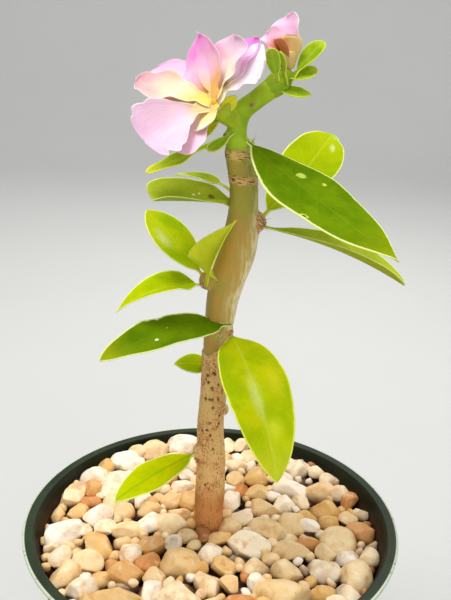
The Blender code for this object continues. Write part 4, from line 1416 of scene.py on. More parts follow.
@dataclass
class NurseryPot:
    """The round nursery pot with its lip turned outwards and its drain holes."""

    height: float = 110.0
    rim_radius: float = 75.0
    base_radius: float = 52.0
    shoulder: Pair = (69.0, 98.5)
    neck: Pair = (71.4, 105.5)
    lip_under: Pair = (72.0, 107.6)
    lip_inner: float = 71.2
    lip_round: float = 0.8
    bead: float = 0.7
    wall: float = 1.4
    foot: float = 1.5
    floor: float = 2.0
    segments: int = 176
    drain_count: int = 8
    drain_radius: float = 5.0
    drain_circle: float = 40.0
    drill_reach: Pair = (-2.0, 6.0)
    drill_sides: int = 40
    sharp_angle: float = 50.0

    def outer_radius(self, height: float) -> float:
        """Outer radius of the wall below the lip, at a height.

        Args:
            height: Height over the pot's base.

        Returns:
            The radius.
        """
        if height > self.shoulder[1]:
            low, high = self.shoulder, self.neck
        else:
            low, high = (self.base_radius, 0.0), self.shoulder
        share = min((height - low[1]) / (high[1] - low[1]), 1.0)
        return low[0] + (high[0] - low[0]) * share

    def profile(self) -> list[Pair]:
        """The wall's closed outline, with a rounded foot and lip.

        Returns:
            Radius and height of each point, in order.
        """
        foot = arc((self.base_radius - self.foot, self.foot), self.foot, -90.0, 18.0, 6)
        bead_middle = (self.rim_radius - self.bead, self.height - self.bead)
        bead = arc(bead_middle, self.bead, -66.0, 19.5, 9)
        lip = arc((self.lip_inner, self.height - self.lip_round), self.lip_round, 90.0, 22.5, 5)
        inner = [(self.neck[0] - self.wall, self.neck[1]),
                 (self.shoulder[0] - self.wall, self.shoulder[1]),
                 (self.outer_radius(self.floor) - self.wall, self.floor), (0.0, self.floor)]
        return ([(0.0, 0.0)] + foot + [self.shoulder, self.neck, self.lip_under] + bead + lip
                + inner)

    def build(self) -> None:
        """Turn the wall and drill the drain holes."""
        pot = Piece.mesh("nursery_pot", lathe(self.profile(), self.segments))
        drills = self._drills()
        modifier = pot.modifiers.new("drain", "BOOLEAN")
        modifier.operation = "DIFFERENCE"
        modifier.object = drills
        Piece.applied(pot)
        bpy.data.objects.remove(drills, do_unlink=True)
        pot.data.shade_smooth()
        pot.data.set_sharp_from_angle(angle=math.radians(self.sharp_angle))
        Piece.finish(pot, PotPlastic("pot_plastic"), "green_plastic", "pot")

    def _drills(self) -> bpy.types.Object:
        """All the drain holes as one cutter.

        Returns:
            The cutter.
        """
        low, high = self.drill_reach
        profile = [(0.0, low), (self.drain_radius, low), (self.drain_radius, high), (0.0, high)]
        shape = None
        for k in range(self.drain_count):
            angle = math.tau * (k + 0.5) / self.drain_count
            drill = lathe(profile, self.drill_sides)
            drill.points += (self.drain_circle * math.cos(angle),
                             self.drain_circle * math.sin(angle), 0.0)
            shape = drill if shape is None else shape.joined(drill)
        return Piece.mesh("drain_drills", shape)


@dataclass(frozen=True)
class Stone:
    """One pebble: centre, half sizes, turn and tilt, and its tint from white to dark."""

    centre: Place
    half: Place
    turn: float
    tilt: float
    tint: float


@dataclass(frozen=True)
class Filler:
    """Stones for the gaps: their half size, the tries, their spacing and how low they lie."""

    size: float
    tries: int
    spacing: float
    drop: float


@dataclass
class PebbleBed:
    """The river pebbles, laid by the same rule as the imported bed, with more in the gaps."""

    pot: NurseryPot = field(default_factory=NurseryPot)
    packed_sides: int = 40
    level: float = 104.5
    slope: float = 0.01
    bank: float = 0.075
    heap: float = 1.5
    seed: int = 19
    wall_clearance: float = 0.8
    # Half size and tries of the stones laid by random draws.
    sizes: tuple = ((6.6, 200), (5.6, 900), (4.6, 2500))
    spread: float = 0.12
    spacing: float = 0.8
    long: float = 1.2
    wide: float = 0.9
    tall: float = 0.74
    tilt: float = 16.0
    lift: Pair = (-1.6, 1.0)
    feature_tall: float = 0.85
    feature_tilt: float = 6.0
    stem_clearance: float = 0.7
    stem_spot: Place = (-1.3, 5.0, 5.5)
    fill_seed: int = 5
    small: Filler = Filler(3.6, 2400, 0.8, 1.4)
    chips: Filler = Filler(2.3, 5200, 0.8, 1.8)
    under: Filler = Filler(6.2, 900, 0.74, 4.6)
    filler_spread: Pair = (0.8, 1.2)
    filler_clearance: float = 0.6
    filler_tilt: float = 30.0
    filler_rise: Pair = (-1.0, 0.8)
    filler_long: float = 1.15
    filler_tall: float = 0.85
    # Up to which share of the stones each range of tints goes.
    tint_mix: tuple[tuple[float, Pair], ...] = (
        (0.42, (0.0, 0.25)), (0.8, (0.25, 0.5)), (0.94, (0.5, 0.7)), (1.0, (0.78, 0.96)))
    swell: float = 1.08
    wall_gap: float = 0.4
    facet: float = 0.95
    unevenness: float = 0.34
    unevenness_scale: float = 1.1
    seed_step: int = 40
    grit_heights: Pair = (88.4, 97.6)
    grit_gap: float = 0.5
    grit_rings: int = 40
    grit_sides: int = 120
    grit_rough: float = 0.8
    grit_scale: float = 0.25
    # The pebbles placed one by one: x, y, half length, half width, turn, rise and tint.
    features: tuple = (
        (-15, 61, 8.5, 6.5, 0, 2, 0.02), (-29, 55, 6.5, 6, 60, 2, 0.35),
        (-36.5, 53, 4.5, 4.2, 0, 1, 0.3), (-40, 46, 9.5, 6.5, 10, 1.5, 0.05),
        (-50, 41, 5.5, 3.8, 100, 1, 0.6), (-54, 32.5, 6.5, 5.5, 40, 1.5, 0.12),
        (-61, 18.5, 8, 5, 62, 2, 0.25), (-53, 25, 6, 5.5, 0, 1, 0.72),
        (-53.5, 16.5, 5.2, 3.2, 0, -1, 0.85), (-44, 28, 10, 5.5, 75, 1, 0.14),
        (-57, 9, 5.5, 4.5, 20, -0.5, 0.55), (-60, -5, 9.5, 7, 55, 2, 0.02),
        (-47, 6, 7, 5.8, 45, 1.5, 0.04), (-44, -12, 7.8, 6.2, -45, 1, 0.62),
        (-58, -20, 5, 4.2, 70, 0.5, 0.2), (-47, -23, 6.2, 5.5, 0, 1, 0.35),
        (-54, -30, 8, 5.2, 75, 0.5, 0.45), (-46, -38, 5.8, 5, 40, 0.5, 0.15),
        (-31, -28, 7, 5.5, 0, 1, 0.68), (-32, -42, 9, 6.5, 0, 1, 0.55),
        (-21, -38, 5.5, 4, 80, 0.5, 0.1), (-10, -40, 8, 6.5, 10, 1, 0.2),
        (-37, 10, 5.5, 4.5, 80, 0.5, 0.42), (-27, 11, 5.5, 5, 0, 0.5, 0.48),
        (-34, -2, 6.8, 4.6, 0, 0.5, 0.34), (-18, 18, 4.5, 4.2, 0, 0, 0.5),
        (-13, 28, 5.2, 4.4, 0, 0.5, 0.14), (-16, 2, 8.2, 5.8, -15, 1, 0.3),
        (-23, -12, 5.4, 4.8, -30, 0.5, 0.74), (-31, -17, 5.8, 4.2, 95, 0.5, 0.12),
        (-12, -22, 9.2, 8, -20, 1.5, 0.5), (6, 60, 5.6, 3.6, 100, 1.5, 0.2),
        (13, 61, 5.6, 3.6, 70, 1.5, 0.3), (17, 53, 5, 4.2, -30, 0.5, 0.3),
        (10, 46, 5.8, 4.4, 0, 0.5, 0.25), (10, 35, 4.8, 3.8, 90, 0, 0.5),
        (20, 38, 6.4, 5.8, 45, 1, 0.62), (9, 19, 7.2, 4.6, 85, 1, 0.1),
        (20, 26, 6, 4.4, 10, 0, 0.55), (22, 15, 7.6, 5, -10, 0.5, 0.5),
        (35, 30, 8.2, 6.6, -25, 1, 0.08), (40, 45, 6.6, 5.6, 20, 1.5, 0.15),
        (48, 31, 7.4, 6.6, 30, 1, 0.4), (48, 43, 4.4, 3.4, 10, 0.5, 0.25),
        (53, 37.5, 4.4, 3.4, 0, 0.5, 0.18), (57, 28, 5.4, 4.8, 20, 0.5, 0.28),
        (60, 22, 6.4, 3.8, 65, 0.5, 0.8), (49, 16, 6.8, 6, 0, 1, 0.68),
        (64, 14.5, 3.6, 3.2, 0, 0, 0.3), (58, 11, 4.2, 4, 0, 0, 0.4),
        (62, 3, 6.4, 5.6, 0, 0.5, 0.78), (52, -4, 9, 7.4, 75, 1.5, 0.38),
        (34, 6, 7.2, 5.6, 85, 1, 0.45), (41, 4, 4.6, 3.2, -40, 0.5, 0.1),
        (40, -6, 4.6, 3.8, 0, 0, 0.76), (23, 1, 8.4, 5.6, -30, 1, 0.4),
        (14, -9, 9.8, 6.4, -12, 1.5, 0.12), (8, 2, 5.2, 4.6, 20, 0, 0.5),
        (32, -12, 7.6, 4.8, -10, 0.5, 0.45), (5, -23, 5.2, 4.6, 0, 0.5, 0.56),
        (18, -23, 6, 5, 20, 0, 0.3), (30, -24, 6.8, 6, -20, 0.5, 0.4),
        (44, -22, 6.8, 6, 0, 0.5, 0.12), (56, -25, 9, 6, 75, 1, 0.35),
        (63, -13, 5.4, 4.2, 100, 0.5, 0.25), (28, -38, 11.5, 7.5, -15, 1.5, 0.45),
        (42, -34, 5.2, 4.8, 30, 0, 0.66), (8, -33, 4.4, 3.6, 0, 0, 0.5),
        (-3, -4.5, 3.8, 3.6, 0, 0.5, 0.95), (-9.5, -6, 4, 3.4, 0, 0, 0.35),
    )

    def bed_level(self, x: float, y: float) -> float:
        """Height of the pebbles' tops over the pot's base."""
        heap = 1.0 - (x * x + y * y) / self.pot.rim_radius ** 2
        return self.level - self.slope * x + self.bank * max(y, 0.0) + self.heap * heap

    def limit(self) -> float:
        """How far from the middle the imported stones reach."""
        wall = self.pot.outer_radius(self.level) - self.pot.wall
        return wall * math.cos(math.pi / self.packed_sides) - self.wall_clearance

    def top_stones(self) -> tuple[list[Stone], list[Place]]:
        """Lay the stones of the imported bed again, in the same order of draws.

        Returns:
            The stones, and the spot and size of each.
        """
        rng = random.Random(self.seed)
        tints = random.Random(self.seed + 100)
        spots, stones = [], []
        limit = self.limit()
        for x, y, long_half, wide_half, turn, rise, tint in self.features:
            tall = wide_half * self.feature_tall
            top = self.bed_level(x, y) + rise
            tilt = rng.uniform(-self.feature_tilt, self.feature_tilt)
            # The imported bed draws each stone's own seed here.
            rng.randrange(10000)
            stones.append(Stone((x, y, top - tall), (long_half, wide_half, tall), turn, tilt, tint))
            spots.append((x, y, math.sqrt(long_half * wide_half)))
        for size, tries in self.sizes:
            for _ in range(tries):
                half = size * rng.uniform(1.0 - self.spread, 1.0 + self.spread)
                x, y = self._spot(limit - half * self.long, rng)
                turn = rng.uniform(0.0, 180.0)
                tilt = rng.uniform(-self.tilt, self.tilt)
                lift = rng.uniform(*self.lift)
                rng.randrange(10000)
                if self._taken(x, y, half, self.stem_clearance, self.spacing, spots):
                    continue
                tall = half * self.tall
                centre = (x, y, self.bed_level(x, y) + lift - tall)
                half_sizes = (half * self.long, half * self.wide, tall)
                stones.append(Stone(centre, half_sizes, turn, tilt, self._draw_tint(tints)))
                spots.append((x, y, half))
        return stones, spots

    @staticmethod
    def _spot(reach: float, rng: random.Random) -> Pair:
        """Draw a place that is no farther than the reach from the middle.

        Args:
            reach: Greatest distance from the middle.
            rng: Where the draws come from.

        Returns:
            The place.
        """
        radius = reach * math.sqrt(rng.random())
        angle = rng.uniform(0.0, math.tau)
        return radius * math.cos(angle), radius * math.sin(angle)

    def _taken(self, x: float, y: float, half: float, clearance: float, spacing: float,
               spots: list[Place]) -> bool:
        """Whether the stem or a stone laid so far is in a new stone's way.

        Args:
            x: X of the new stone.
            y: Y of the new stone.
            half: Its half size.
            clearance: Share of the half size kept free round the stem.
            spacing: Share of two half sizes kept between two stones.
            spots: Spot and size of each stone so far.

        Returns:
            True where the new stone can't lie.
        """
        stem_x, stem_y, stem_r = self.stem_spot
        return (math.hypot(x - stem_x, y - stem_y) < stem_r + half * clearance
                or any(math.hypot(x - px, y - py) < spacing * (half + ps)
                       for px, py, ps in spots))

    def _draw_tint(self, rng: random.Random) -> float:
        """Most pebbles are white, cream or tan, and a few are ochre or orange brown."""
        pick = rng.random()
        return rng.uniform(*next(tints for share, tints in self.tint_mix if pick < share))

    def gap_stones(self, kind: Filler, spots: list[Place], rng: random.Random) -> list[Stone]:
        """Lay smaller stones where there is room between those laid so far.

        Args:
            kind: What the stones are like.
            spots: Spot and size of each stone so far, to which the new ones are added.
            rng: Where the draws come from.

        Returns:
            The further stones.
        """
        stones = []
        for _ in range(kind.tries):
            half = kind.size * rng.uniform(*self.filler_spread)
            x, y = self._spot(self.limit() + self.wall_clearance - half * self.wide, rng)
            turn = rng.uniform(0.0, 180.0)
            tilt = rng.uniform(-self.filler_tilt, self.filler_tilt)
            tint = self._draw_tint(rng)
            if self._taken(x, y, half, self.filler_clearance, kind.spacing, spots):
                continue
            tall = half * self.filler_tall
            top = self.bed_level(x, y) - kind.drop + rng.uniform(*self.filler_rise)
            half_sizes = (half * self.filler_long, half * self.wide, tall)
            stones.append(Stone((x, y, top - tall), half_sizes, turn, tilt, tint))
            spots.append((x, y, half))
        return stones

    def _points(self, name: str, stones: list[Stone], seed: int) -> bpy.types.Object:
        """Make one point for each stone, with what the recipe needs to know of it.

        Args:
            name: Name of the object.
            stones: The stones.
            seed: Makes the stones' own numbers.

        Returns:
            The object, with one point a stone.
        """
        rng = random.Random(seed)
        centre = np.array([stone.centre for stone in stones])
        half = np.array([stone.half for stone in stones]) * self.swell
        turn = np.radians([(0.0, -stone.tilt, stone.turn) for stone in stones])
        shape = Shape(centre, [], {
            "centre": centre * MM, "half": half * MM, "turn": turn,
            "tint": np.array([[stone.tint] for stone in stones]),
            "kind": np.array([[rng.random()] for _ in stones])})
        piece = Piece.mesh(name, shape)
        number = piece.data.attributes.new("stone", "INT", "POINT")
        number.data.foreach_set("value", range(len(stones)))
        return piece

    def build(self) -> None:
        """Make the pebbles and the gritty bed between them."""
        recipe = StoneRecipe()
        finish = RiverStone("river_stone")
        rng = random.Random(self.fill_seed)
        top, spots = self.top_stones()
        small = self.gap_stones(self.small, spots, rng)
        chips = self.gap_stones(self.chips, spots, rng) + self.gap_stones(self.under, [], rng)
        (low_radius, low), (high_radius, high) = self.pot.shoulder, self.pot.neck
        flare = (high_radius - low_radius) / (high - low)
        wall = low_radius - self.pot.wall - self.wall_gap - flare * low
        for number, (name, stones, rounds) in enumerate((
                ("river_pebbles", top, 4), ("small_pebbles", small, 3), ("pebble_chips", chips, 2))):
            piece = self._points(name, stones, number)
            recipe.bake(piece, Rounds=rounds, Facet=self.facet, Swell=self.unevenness,
                        Swell_Scale=self.unevenness_scale, Wall=wall * MM, Flare=flare,
                        Seed=3 + self.seed_step * number, Material=finish.material())
            Piece.finish(piece, finish, "gravel", "pebble_bed")
            LOG.info("%s: %d stones", name, len(stones))
        self._grit()

    def _grit(self) -> None:
        """The dark floor between the pebbles, uneven and banked like them."""
        low, top = self.grit_heights
        radii = [self.pot.outer_radius(height) - self.pot.wall - self.grit_gap
                 for height in (low, top)]
        rings = [(radii[1] * k / self.grit_rings, top) for k in range(self.grit_rings, -1, -1)]
        shape = lathe([(0.0, low), (radii[0], low)] + rings, self.grit_sides)
        rough = noise_at(shape.points, (self.grit_scale,) * 3, 2.0)
        banked = self.bank * np.maximum(shape.points[:, 1], 0.0) + self.grit_rough * rough
        shape.points[:, 2] += np.where(shape.points[:, 2] > low, banked, 0.0)
        earth = SoilEarth("bed_grit", srgb(52, 26, 14), srgb(96, 54, 30))
        Piece.finish(Piece.mesh("bed_grit", shape), earth, "gravel", "pebble_bed")


# The stem


class Growth(Enum):
    """What sits on a swelling of the stem."""

    WOOLLY = "woolly"
    BARE = "bare"


@dataclass(frozen=True)
class Knob:
    """A swelling of the stem: its place, half sizes, surface, spines and woolly spot.

    Each spine has a compass angle, a rise and a length. Brown is how woolly the whole swelling is.
    """

    at: Place
    half: Place
    growth: Growth = Growth.BARE
    spines: tuple[Place, ...] = ()
    spot: Place = (0.0, 0.0, 0.0)
    spot_radius: float = 0.0
    brown: float = 0.0


@dataclass
class Stem:
    """The stem from its root end up to the second bloom, with its areoles.

    The path has a place and a radius at each bend, a scar its height, half width and strength,
    and a noted pit how far right and how high it is.
    """

    path: tuple = (
        (-1.5, 5, 52, 1.6), (-1.5, 5, 70, 3.6), (-1.5, 5, 92, 5), (-1.3, 5, 108, 5.5),
        (-0.9, 5, 122, 5.4), (-1, 5, 136, 5.2), (-1.5, 4.5, 148, 4.7), (-0.8, 4, 163, 4.5),
        (-0.6, 4, 176, 4.6), (-0.1, 3.5, 186, 4.9), (0.9, 3, 194, 5.6), (2, 3, 203, 6.1),
        (4.1, 2.5, 212, 6.6), (6.7, 2.5, 220, 6.6), (8.1, 2.5, 229, 6.3), (8.3, 2, 238, 5.3),
        (8, 2, 246, 5.1), (6.4, 2, 252.5, 4.7), (5.3, 2, 257.5, 4.4), (5.1, 2, 260, 3.6),
        (5, 2, 265.5, 3.5), (6.4, 2, 270.5, 3.6), (11, 2, 274.5, 3.3), (16, 2, 278.5, 3.6),
    )
    knobs: tuple[Knob, ...] = (
        Knob((-5.2, 2.2, 138), (2.6, 2.6, 3.4), Growth.WOOLLY,
             ((200, 50, 4), (240, 10, 3.5)), (-6.6, 0.2, 135), 1.6),
        Knob((3.6, 2, 157), (1.3, 1.3, 1.8)),
        Knob((-2.6, 6.5, 173), (2.4, 2.4, 2.8)),
        Knob((3.4, -0.8, 191), (3, 2.6, 4.2), Growth.WOOLLY,
             ((-82, 8, 4), (-112, -35, 3.5)), (5.2, -2.8, 190.8), 1.5),
        Knob((-3.6, 0.6, 210), (3.6, 3.8, 3.8), Growth.WOOLLY,
             ((-60, 15, 4), (-85, -15, 3.5)), (-5.6, -2.2, 208.8), 1.6),
        Knob((10.5, 2, 226), (3.6, 3.4, 9)),
        Knob((13, 2.4, 232), (3.6, 3.2, 4.2), Growth.WOOLLY,
             ((20, -35, 4.5), (-30, 20, 4)), (15.6, 0.8, 232.4), 2, 1),
        Knob((5.6, 5, 240), (2.6, 2.6, 2.6)),
        Knob((7.4, 1.4, 260), (2.7, 2.5, 2.4)),
        Knob((10.4, 1.2, 259.6), (1.2, 1.2, 1.2), Growth.BARE, ((4, 70, 5.5),)),
        Knob((2.2, 0.6, 262.5), (1.8, 1.6, 2.2), Growth.WOOLLY, (), (0.7, -0.5, 262.7), 0.9),
        Knob((10.4, -0.4, 272.6), (1.8, 1.4, 1.6), Growth.WOOLLY, (), (10, -1.9, 273.4), 0.9),
    )
    ridge_count: int = 5
    ridge_depth: float = 0.03
    sides: int = 40
    rings: int = 220
    voxel: float = 0.42
    soften_rounds: int = 6
    bark_top: float = 181.8
    bark_lean: float = 1.5
    bark_ragged: float = 1.1
    bark_step: float = 0.55
    torn_edge: float = 0.9
    strip_heights: tuple[float, ...] = (152.0, 155.0, 178.0, 180.0)
    strip_rise: float = 0.25
    grain_scale: Place = (0.8, 0.8, 0.22)
    fine_scale: Place = (1.9, 1.9, 1.1)
    crack_scale: Place = (0.9, 0.9, 0.16)
    crack_rate: float = 7.0
    crack_depth: float = 0.22
    shoot_start: float = 258.4
    shoot_ragged: float = 0.9
    scars: tuple = ((255.9, 1.7, 0.28), (247.6, 1.9, 0.42))
    scar_gain: float = 2.2
    scar_ragged: float = 1.2
    noted_pits: tuple = ((-2.8, 172.3), (-0.2, 173.0), (-1.2, 167.1), (-3.4, 162.2),
                         (-1.0, 162.1), (-0.6, 158.7), (1.6, 151.4), (-1.4, 146.5))
    pit_count: int = 90
    pit_heights: Pair = (118.0, 179.0)
    pit_sizes: Pair = (0.5, 0.95)
    pit_seed: int = 8
    pit_radius: float = 0.46
    pit_depth: float = 0.5
    wool_seed: int = 12
    wool_tries: int = 60
    wool_thickness: float = 0.11
    wool_length: Pair = (0.6, 1.0)
    wool_tangle: float = 0.35
    spine_thickness: float = 0.2
    spine_spread: Pair = (50.0, 25.0)
    small_spine: Pair = (0.3, 0.55)

    def build(self) -> None:
        """Blend tube and knobs into one skin, carve it, and add wool and spines."""
        blank = tube(self._middle(), self.sides, self.ridge_count, self.ridge_depth)
        for knob in self.knobs:
            blank = blank.joined(ball(knob.at, knob.half))
        rough = Piece.mesh("stem_skin", blank)
        remesh = rough.modifiers.new("skin", "REMESH")
        remesh.mode = "VOXEL"
        remesh.voxel_size = self.voxel * MM
        soften = rough.modifiers.new("soften", "SMOOTH")
        soften.factor = 0.5
        soften.iterations = self.soften_rounds
        stem = self._carved(Piece.applied(rough))
        Piece.finish(stem, StemBark("stem_bark"), "bark", "stem")
        self._spines()
        self._wool()

    def _middle(self) -> np.ndarray:
        """The stem's middle line with its radii."""
        return smooth_path(self.path, self.rings)

    @staticmethod
    def _rows(source: bpy.types.bpy_prop_collection, name: str) -> np.ndarray:
        """Read one vector of each item of a mesh.

        Args:
            source: The vertices or their normals.
            name: Name of the vector.

        Returns:
            One row an item.
        """
        values = np.empty(len(source) * 3)
        source.foreach_get(name, values)
        return values.reshape(-1, 3)

    def _carved(self, stem: bpy.types.Object) -> bpy.types.Object:
        """Move the skin in and out for bark, scars and pits, and mark what is where.

        Args:
            stem: The blended skin.

        Returns:
            The same object, carved.
        """
        mesh = stem.data
        points = self._rows(mesh.vertices, "co") / MM
        normals = self._rows(mesh.vertex_normals, "vector")
        axis = self._middle()[:, :3]
        nearest = np.array([np.argmin(((axis - point) ** 2).sum(axis=1)) for point in points])
        zones, lift = self._relief(points, unit(points - axis[nearest]))
        mesh.vertices.foreach_set("co", ((points + normals * lift[:, None]) * MM).ravel())
        for name in STEM_ZONES:
            mesh.attributes.new(name, "FLOAT", "POINT").data.foreach_set("value", zones[name])
        mesh.update()
        mesh.shade_smooth()
        return stem

    def _relief(self, points: np.ndarray, away: np.ndarray) -> tuple[dict, np.ndarray]:
        """Work out the zones of the skin and how far each point moves out.

        Args:
            points: Places on the skin.
            away: Unit vectors to them from the stem's middle line.

        Returns:
            By name, each zone's share at every point and how far it faces right, and the moves.
        """
        height, side = points[:, 2], away[:, 0]
        ragged = noise_at(away, (1.6, 1.6, 0.4), 4.0) + 0.6 * noise_at(away, (5.0,) * 3, 5.0)
        edge = self.bark_top + self.bark_lean * side + self.bark_ragged * ragged
        bark = smooth_step(height, edge + 0.35, edge - 0.25)
        start = self.shoot_start + self.shoot_ragged * noise_at(away, (2.2,) * 3, 6.0)
        shoot = smooth_step(height, start - 0.3, start + 0.4)
        knob, scar = self._knobs(points), self._scars(points)
        pit = self._pits(points) * bark
        grain = noise_at(points, self.grain_scale, 1.0)
        fine = noise_at(points, self.fine_scale, 2.0)
        crack = 1.0 - np.abs(noise_at(points, self.crack_scale, 3.0)) * self.crack_rate
        crack = np.clip(crack, 0.0, 1.0)
        # Pale strip down the right, front-facing edge: partly a slightly raised peeling edge, partly a
        # painted highlight.
        low, full, last, high = self.strip_heights
        strip = smooth_step(side, 0.72, 0.95) * smooth_step(height, low, full)
        strip = strip * smooth_step(height, high, last) * (away[:, 1] < 0.35)
        torn = self.torn_edge * bark * smooth_step(edge - height, 0.9, 0.1)
        peel_and_highlight = np.clip(strip * (0.6 + 0.8 * grain) + torn, 0.0, 1.0)
        lift = bark * (self.bark_step + 0.16 * grain + 0.1 * fine - self.crack_depth * crack)
        lift += (1.0 - bark) * (1.0 - shoot) * (0.06 * grain - 0.05)
        lift += scar * (0.18 + 0.16 * fine) + knob * (0.16 * fine + 0.22 * grain)
        lift += self.strip_rise * strip - pit * self.pit_depth
        return {"bark": bark, "shoot": shoot, "scar": scar, "knob": knob, "pit": pit,
                "peel_and_highlight": peel_and_highlight, "side": side}, lift

    def _knobs(self, points: np.ndarray) -> np.ndarray:
        """Where the swellings and their spots are brown and woolly.

        Args:
            points: Places on the skin.

        Returns:
            How strong the mark is at each point, from 0 to 1.
        """
        knob = np.zeros(len(points))
        for swelling in self.knobs:
            inside = np.linalg.norm((points - swelling.at) / swelling.half, axis=1)
            knob = np.maximum(knob, swelling.brown * smooth_step(inside, 1.3, 1.02))
            if swelling.growth is Growth.WOOLLY:
                inside = np.linalg.norm(points - swelling.spot, axis=1) / swelling.spot_radius
                knob = np.maximum(knob, smooth_step(inside, 1.15, 0.8))
        return knob

    def _scars(self, points: np.ndarray) -> np.ndarray:
        """The ragged rings of scars round the upper stem.

        Args:
            points: Places on the skin.

        Returns:
            How strong the mark is at each point, from 0 to 1.
        """
        scar = np.zeros(len(points))
        ragged = noise_at(points, (0.5, 0.5, 0.2), 9.0) * self.scar_ragged
        for level, reach, strength in self.scars:
            gap = np.abs(points[:, 2] - level - ragged)
            ring = smooth_step(gap, reach, reach * 0.55)
            scar = np.maximum(scar, strength * self.scar_gain * ring)
        return np.clip(scar, 0.0, 1.0)

    def _pits(self, points: np.ndarray) -> np.ndarray:
        """Small dark pits of the bark: the noted ones in front, and seeded ones all round.

        Args:
            points: Places on the skin.

        Returns:
            How strong the mark is at each point, from 0 to 1.
        """
        rng = random.Random(self.pit_seed)
        middle = self._middle()
        spots = [(x, None, z, 1.0) for x, z in self.noted_pits]
        for _ in range(self.pit_count):
            z = rng.uniform(*self.pit_heights)
            spots.append((0.0, rng.uniform(0.0, math.tau), z, rng.uniform(*self.pit_sizes)))
        pit = np.zeros(len(points))
        for x, turn, z, size in spots:
            ax, ay, _, radius = middle[np.argmin(np.abs(middle[:, 2] - z))]
            if turn is None:
                turn = -math.acos(max(-1.0, min(1.0, (x - ax) / radius)))
            spot = (ax + radius * math.cos(turn), ay + radius * math.sin(turn), z)
            gap = np.linalg.norm((points - spot) * (1.0, 1.0, 0.7), axis=1)
            radius = self.pit_radius * size
            pit = np.maximum(pit, smooth_step(gap, radius * 1.5, radius * 0.5))
        return pit

    def _spines(self) -> None:
        """The spines of the areoles, and two smaller ones beside each."""
        rng = random.Random(self.wool_seed)
        turn, lift = self.spine_spread
        rows = []
        for knob in self.knobs:
            for compass, rise, length in knob.spines:
                aim = direction(np.radians(compass), np.radians(rise))
                reach = float(np.linalg.norm(aim * knob.half))
                start = np.array(knob.at)
                rows.append((start + aim * reach * 0.5, aim, length + reach * 0.5))
                for _ in range(2):
                    bent = direction(np.radians(compass + rng.uniform(-turn, turn)),
                                     np.radians(rise + rng.uniform(-lift, lift)))
                    rows.append((start + bent * reach * 0.6, bent,
                                 length * rng.uniform(*self.small_spine) + reach * 0.4))
        finish = PlainGrowth("spine_horn", srgb(206, 176, 132), srgb(250, 244, 228), 0.4)
        self._tufts("spines", rows, finish, Thickness=self.spine_thickness * MM, Tip=0.05, Sides=8)

    def _wool(self) -> None:
        """Short wool on the areoles."""
        rng = random.Random(self.wool_seed + 1)
        middle = self._middle()
        rows = []
        for knob in self.knobs:
            if knob.growth is not Growth.WOOLLY:
                continue
            spot = np.array(knob.spot)
            outward = unit(spot - middle[np.argmin(np.abs(middle[:, 2] - knob.at[2])), :3])
            for _ in range(self.wool_tries):
                aim = unit(np.array([rng.gauss(0.0, 1.0) for _ in range(3)]))
                if float(aim @ outward) < 0.0:
                    continue
                start = spot + aim * knob.spot_radius * 0.6 - outward * 0.5
                stray = np.array([rng.gauss(0.0, self.wool_tangle) for _ in range(3)])
                length = rng.uniform(*self.wool_length) * (knob.spot_radius * 0.4 + 0.3)
                rows.append((start, unit(aim + outward + stray), length))
        finish = PlainGrowth("areole_wool", srgb(158, 88, 50), srgb(222, 168, 120), 0.8)
        self._tufts("areole_wool", rows, finish, Thickness=self.wool_thickness * MM, Tip=0.3,
                    Sides=4)

    @staticmethod
    def _tufts(name: str, rows: list[tuple], finish: Finish, **values: Value) -> None:
        """Make one piece of many shafts.

        Args:
            name: The piece's name.
            rows: Start, aim and length of each shaft.
            finish: The piece's finish.
            values: What else the recipe needs.
        """
        starts, aims, lengths = (np.array(column) for column in zip(*rows))
        shape = Shape(starts, [], {"aim": aims, "length": lengths * MM})
        piece = Piece.mesh(name, shape)
        TuftRecipe().bake(piece, Material=finish.material(), **values)
        Piece.finish(piece, finish, "bark")


# Leaves


@dataclass(frozen=True)
class LeafPlan:
    """One leaf: its blade, skin, sheet and the record's slot of its finish."""

    blade: Blade
    skin: dict
    slot: str = "yellow_green_leaf"
    sheet: dict = field(default_factory=dict)


DARK_SKIN = {"body": srgb(106, 134, 10), "shade": srgb(84, 116, 8), "tip": srgb(158, 164, 14),
             "rib": srgb(124, 158, 36), "under": srgb(130, 158, 56), "margin": srgb(224, 234, 146)}
OLIVE_SKIN = {"body": srgb(164, 178, 44), "shade": srgb(138, 156, 34), "tip": srgb(176, 186, 56),
              "rib": srgb(174, 196, 88), "under": srgb(150, 174, 66), "margin": srgb(216, 226, 124)}


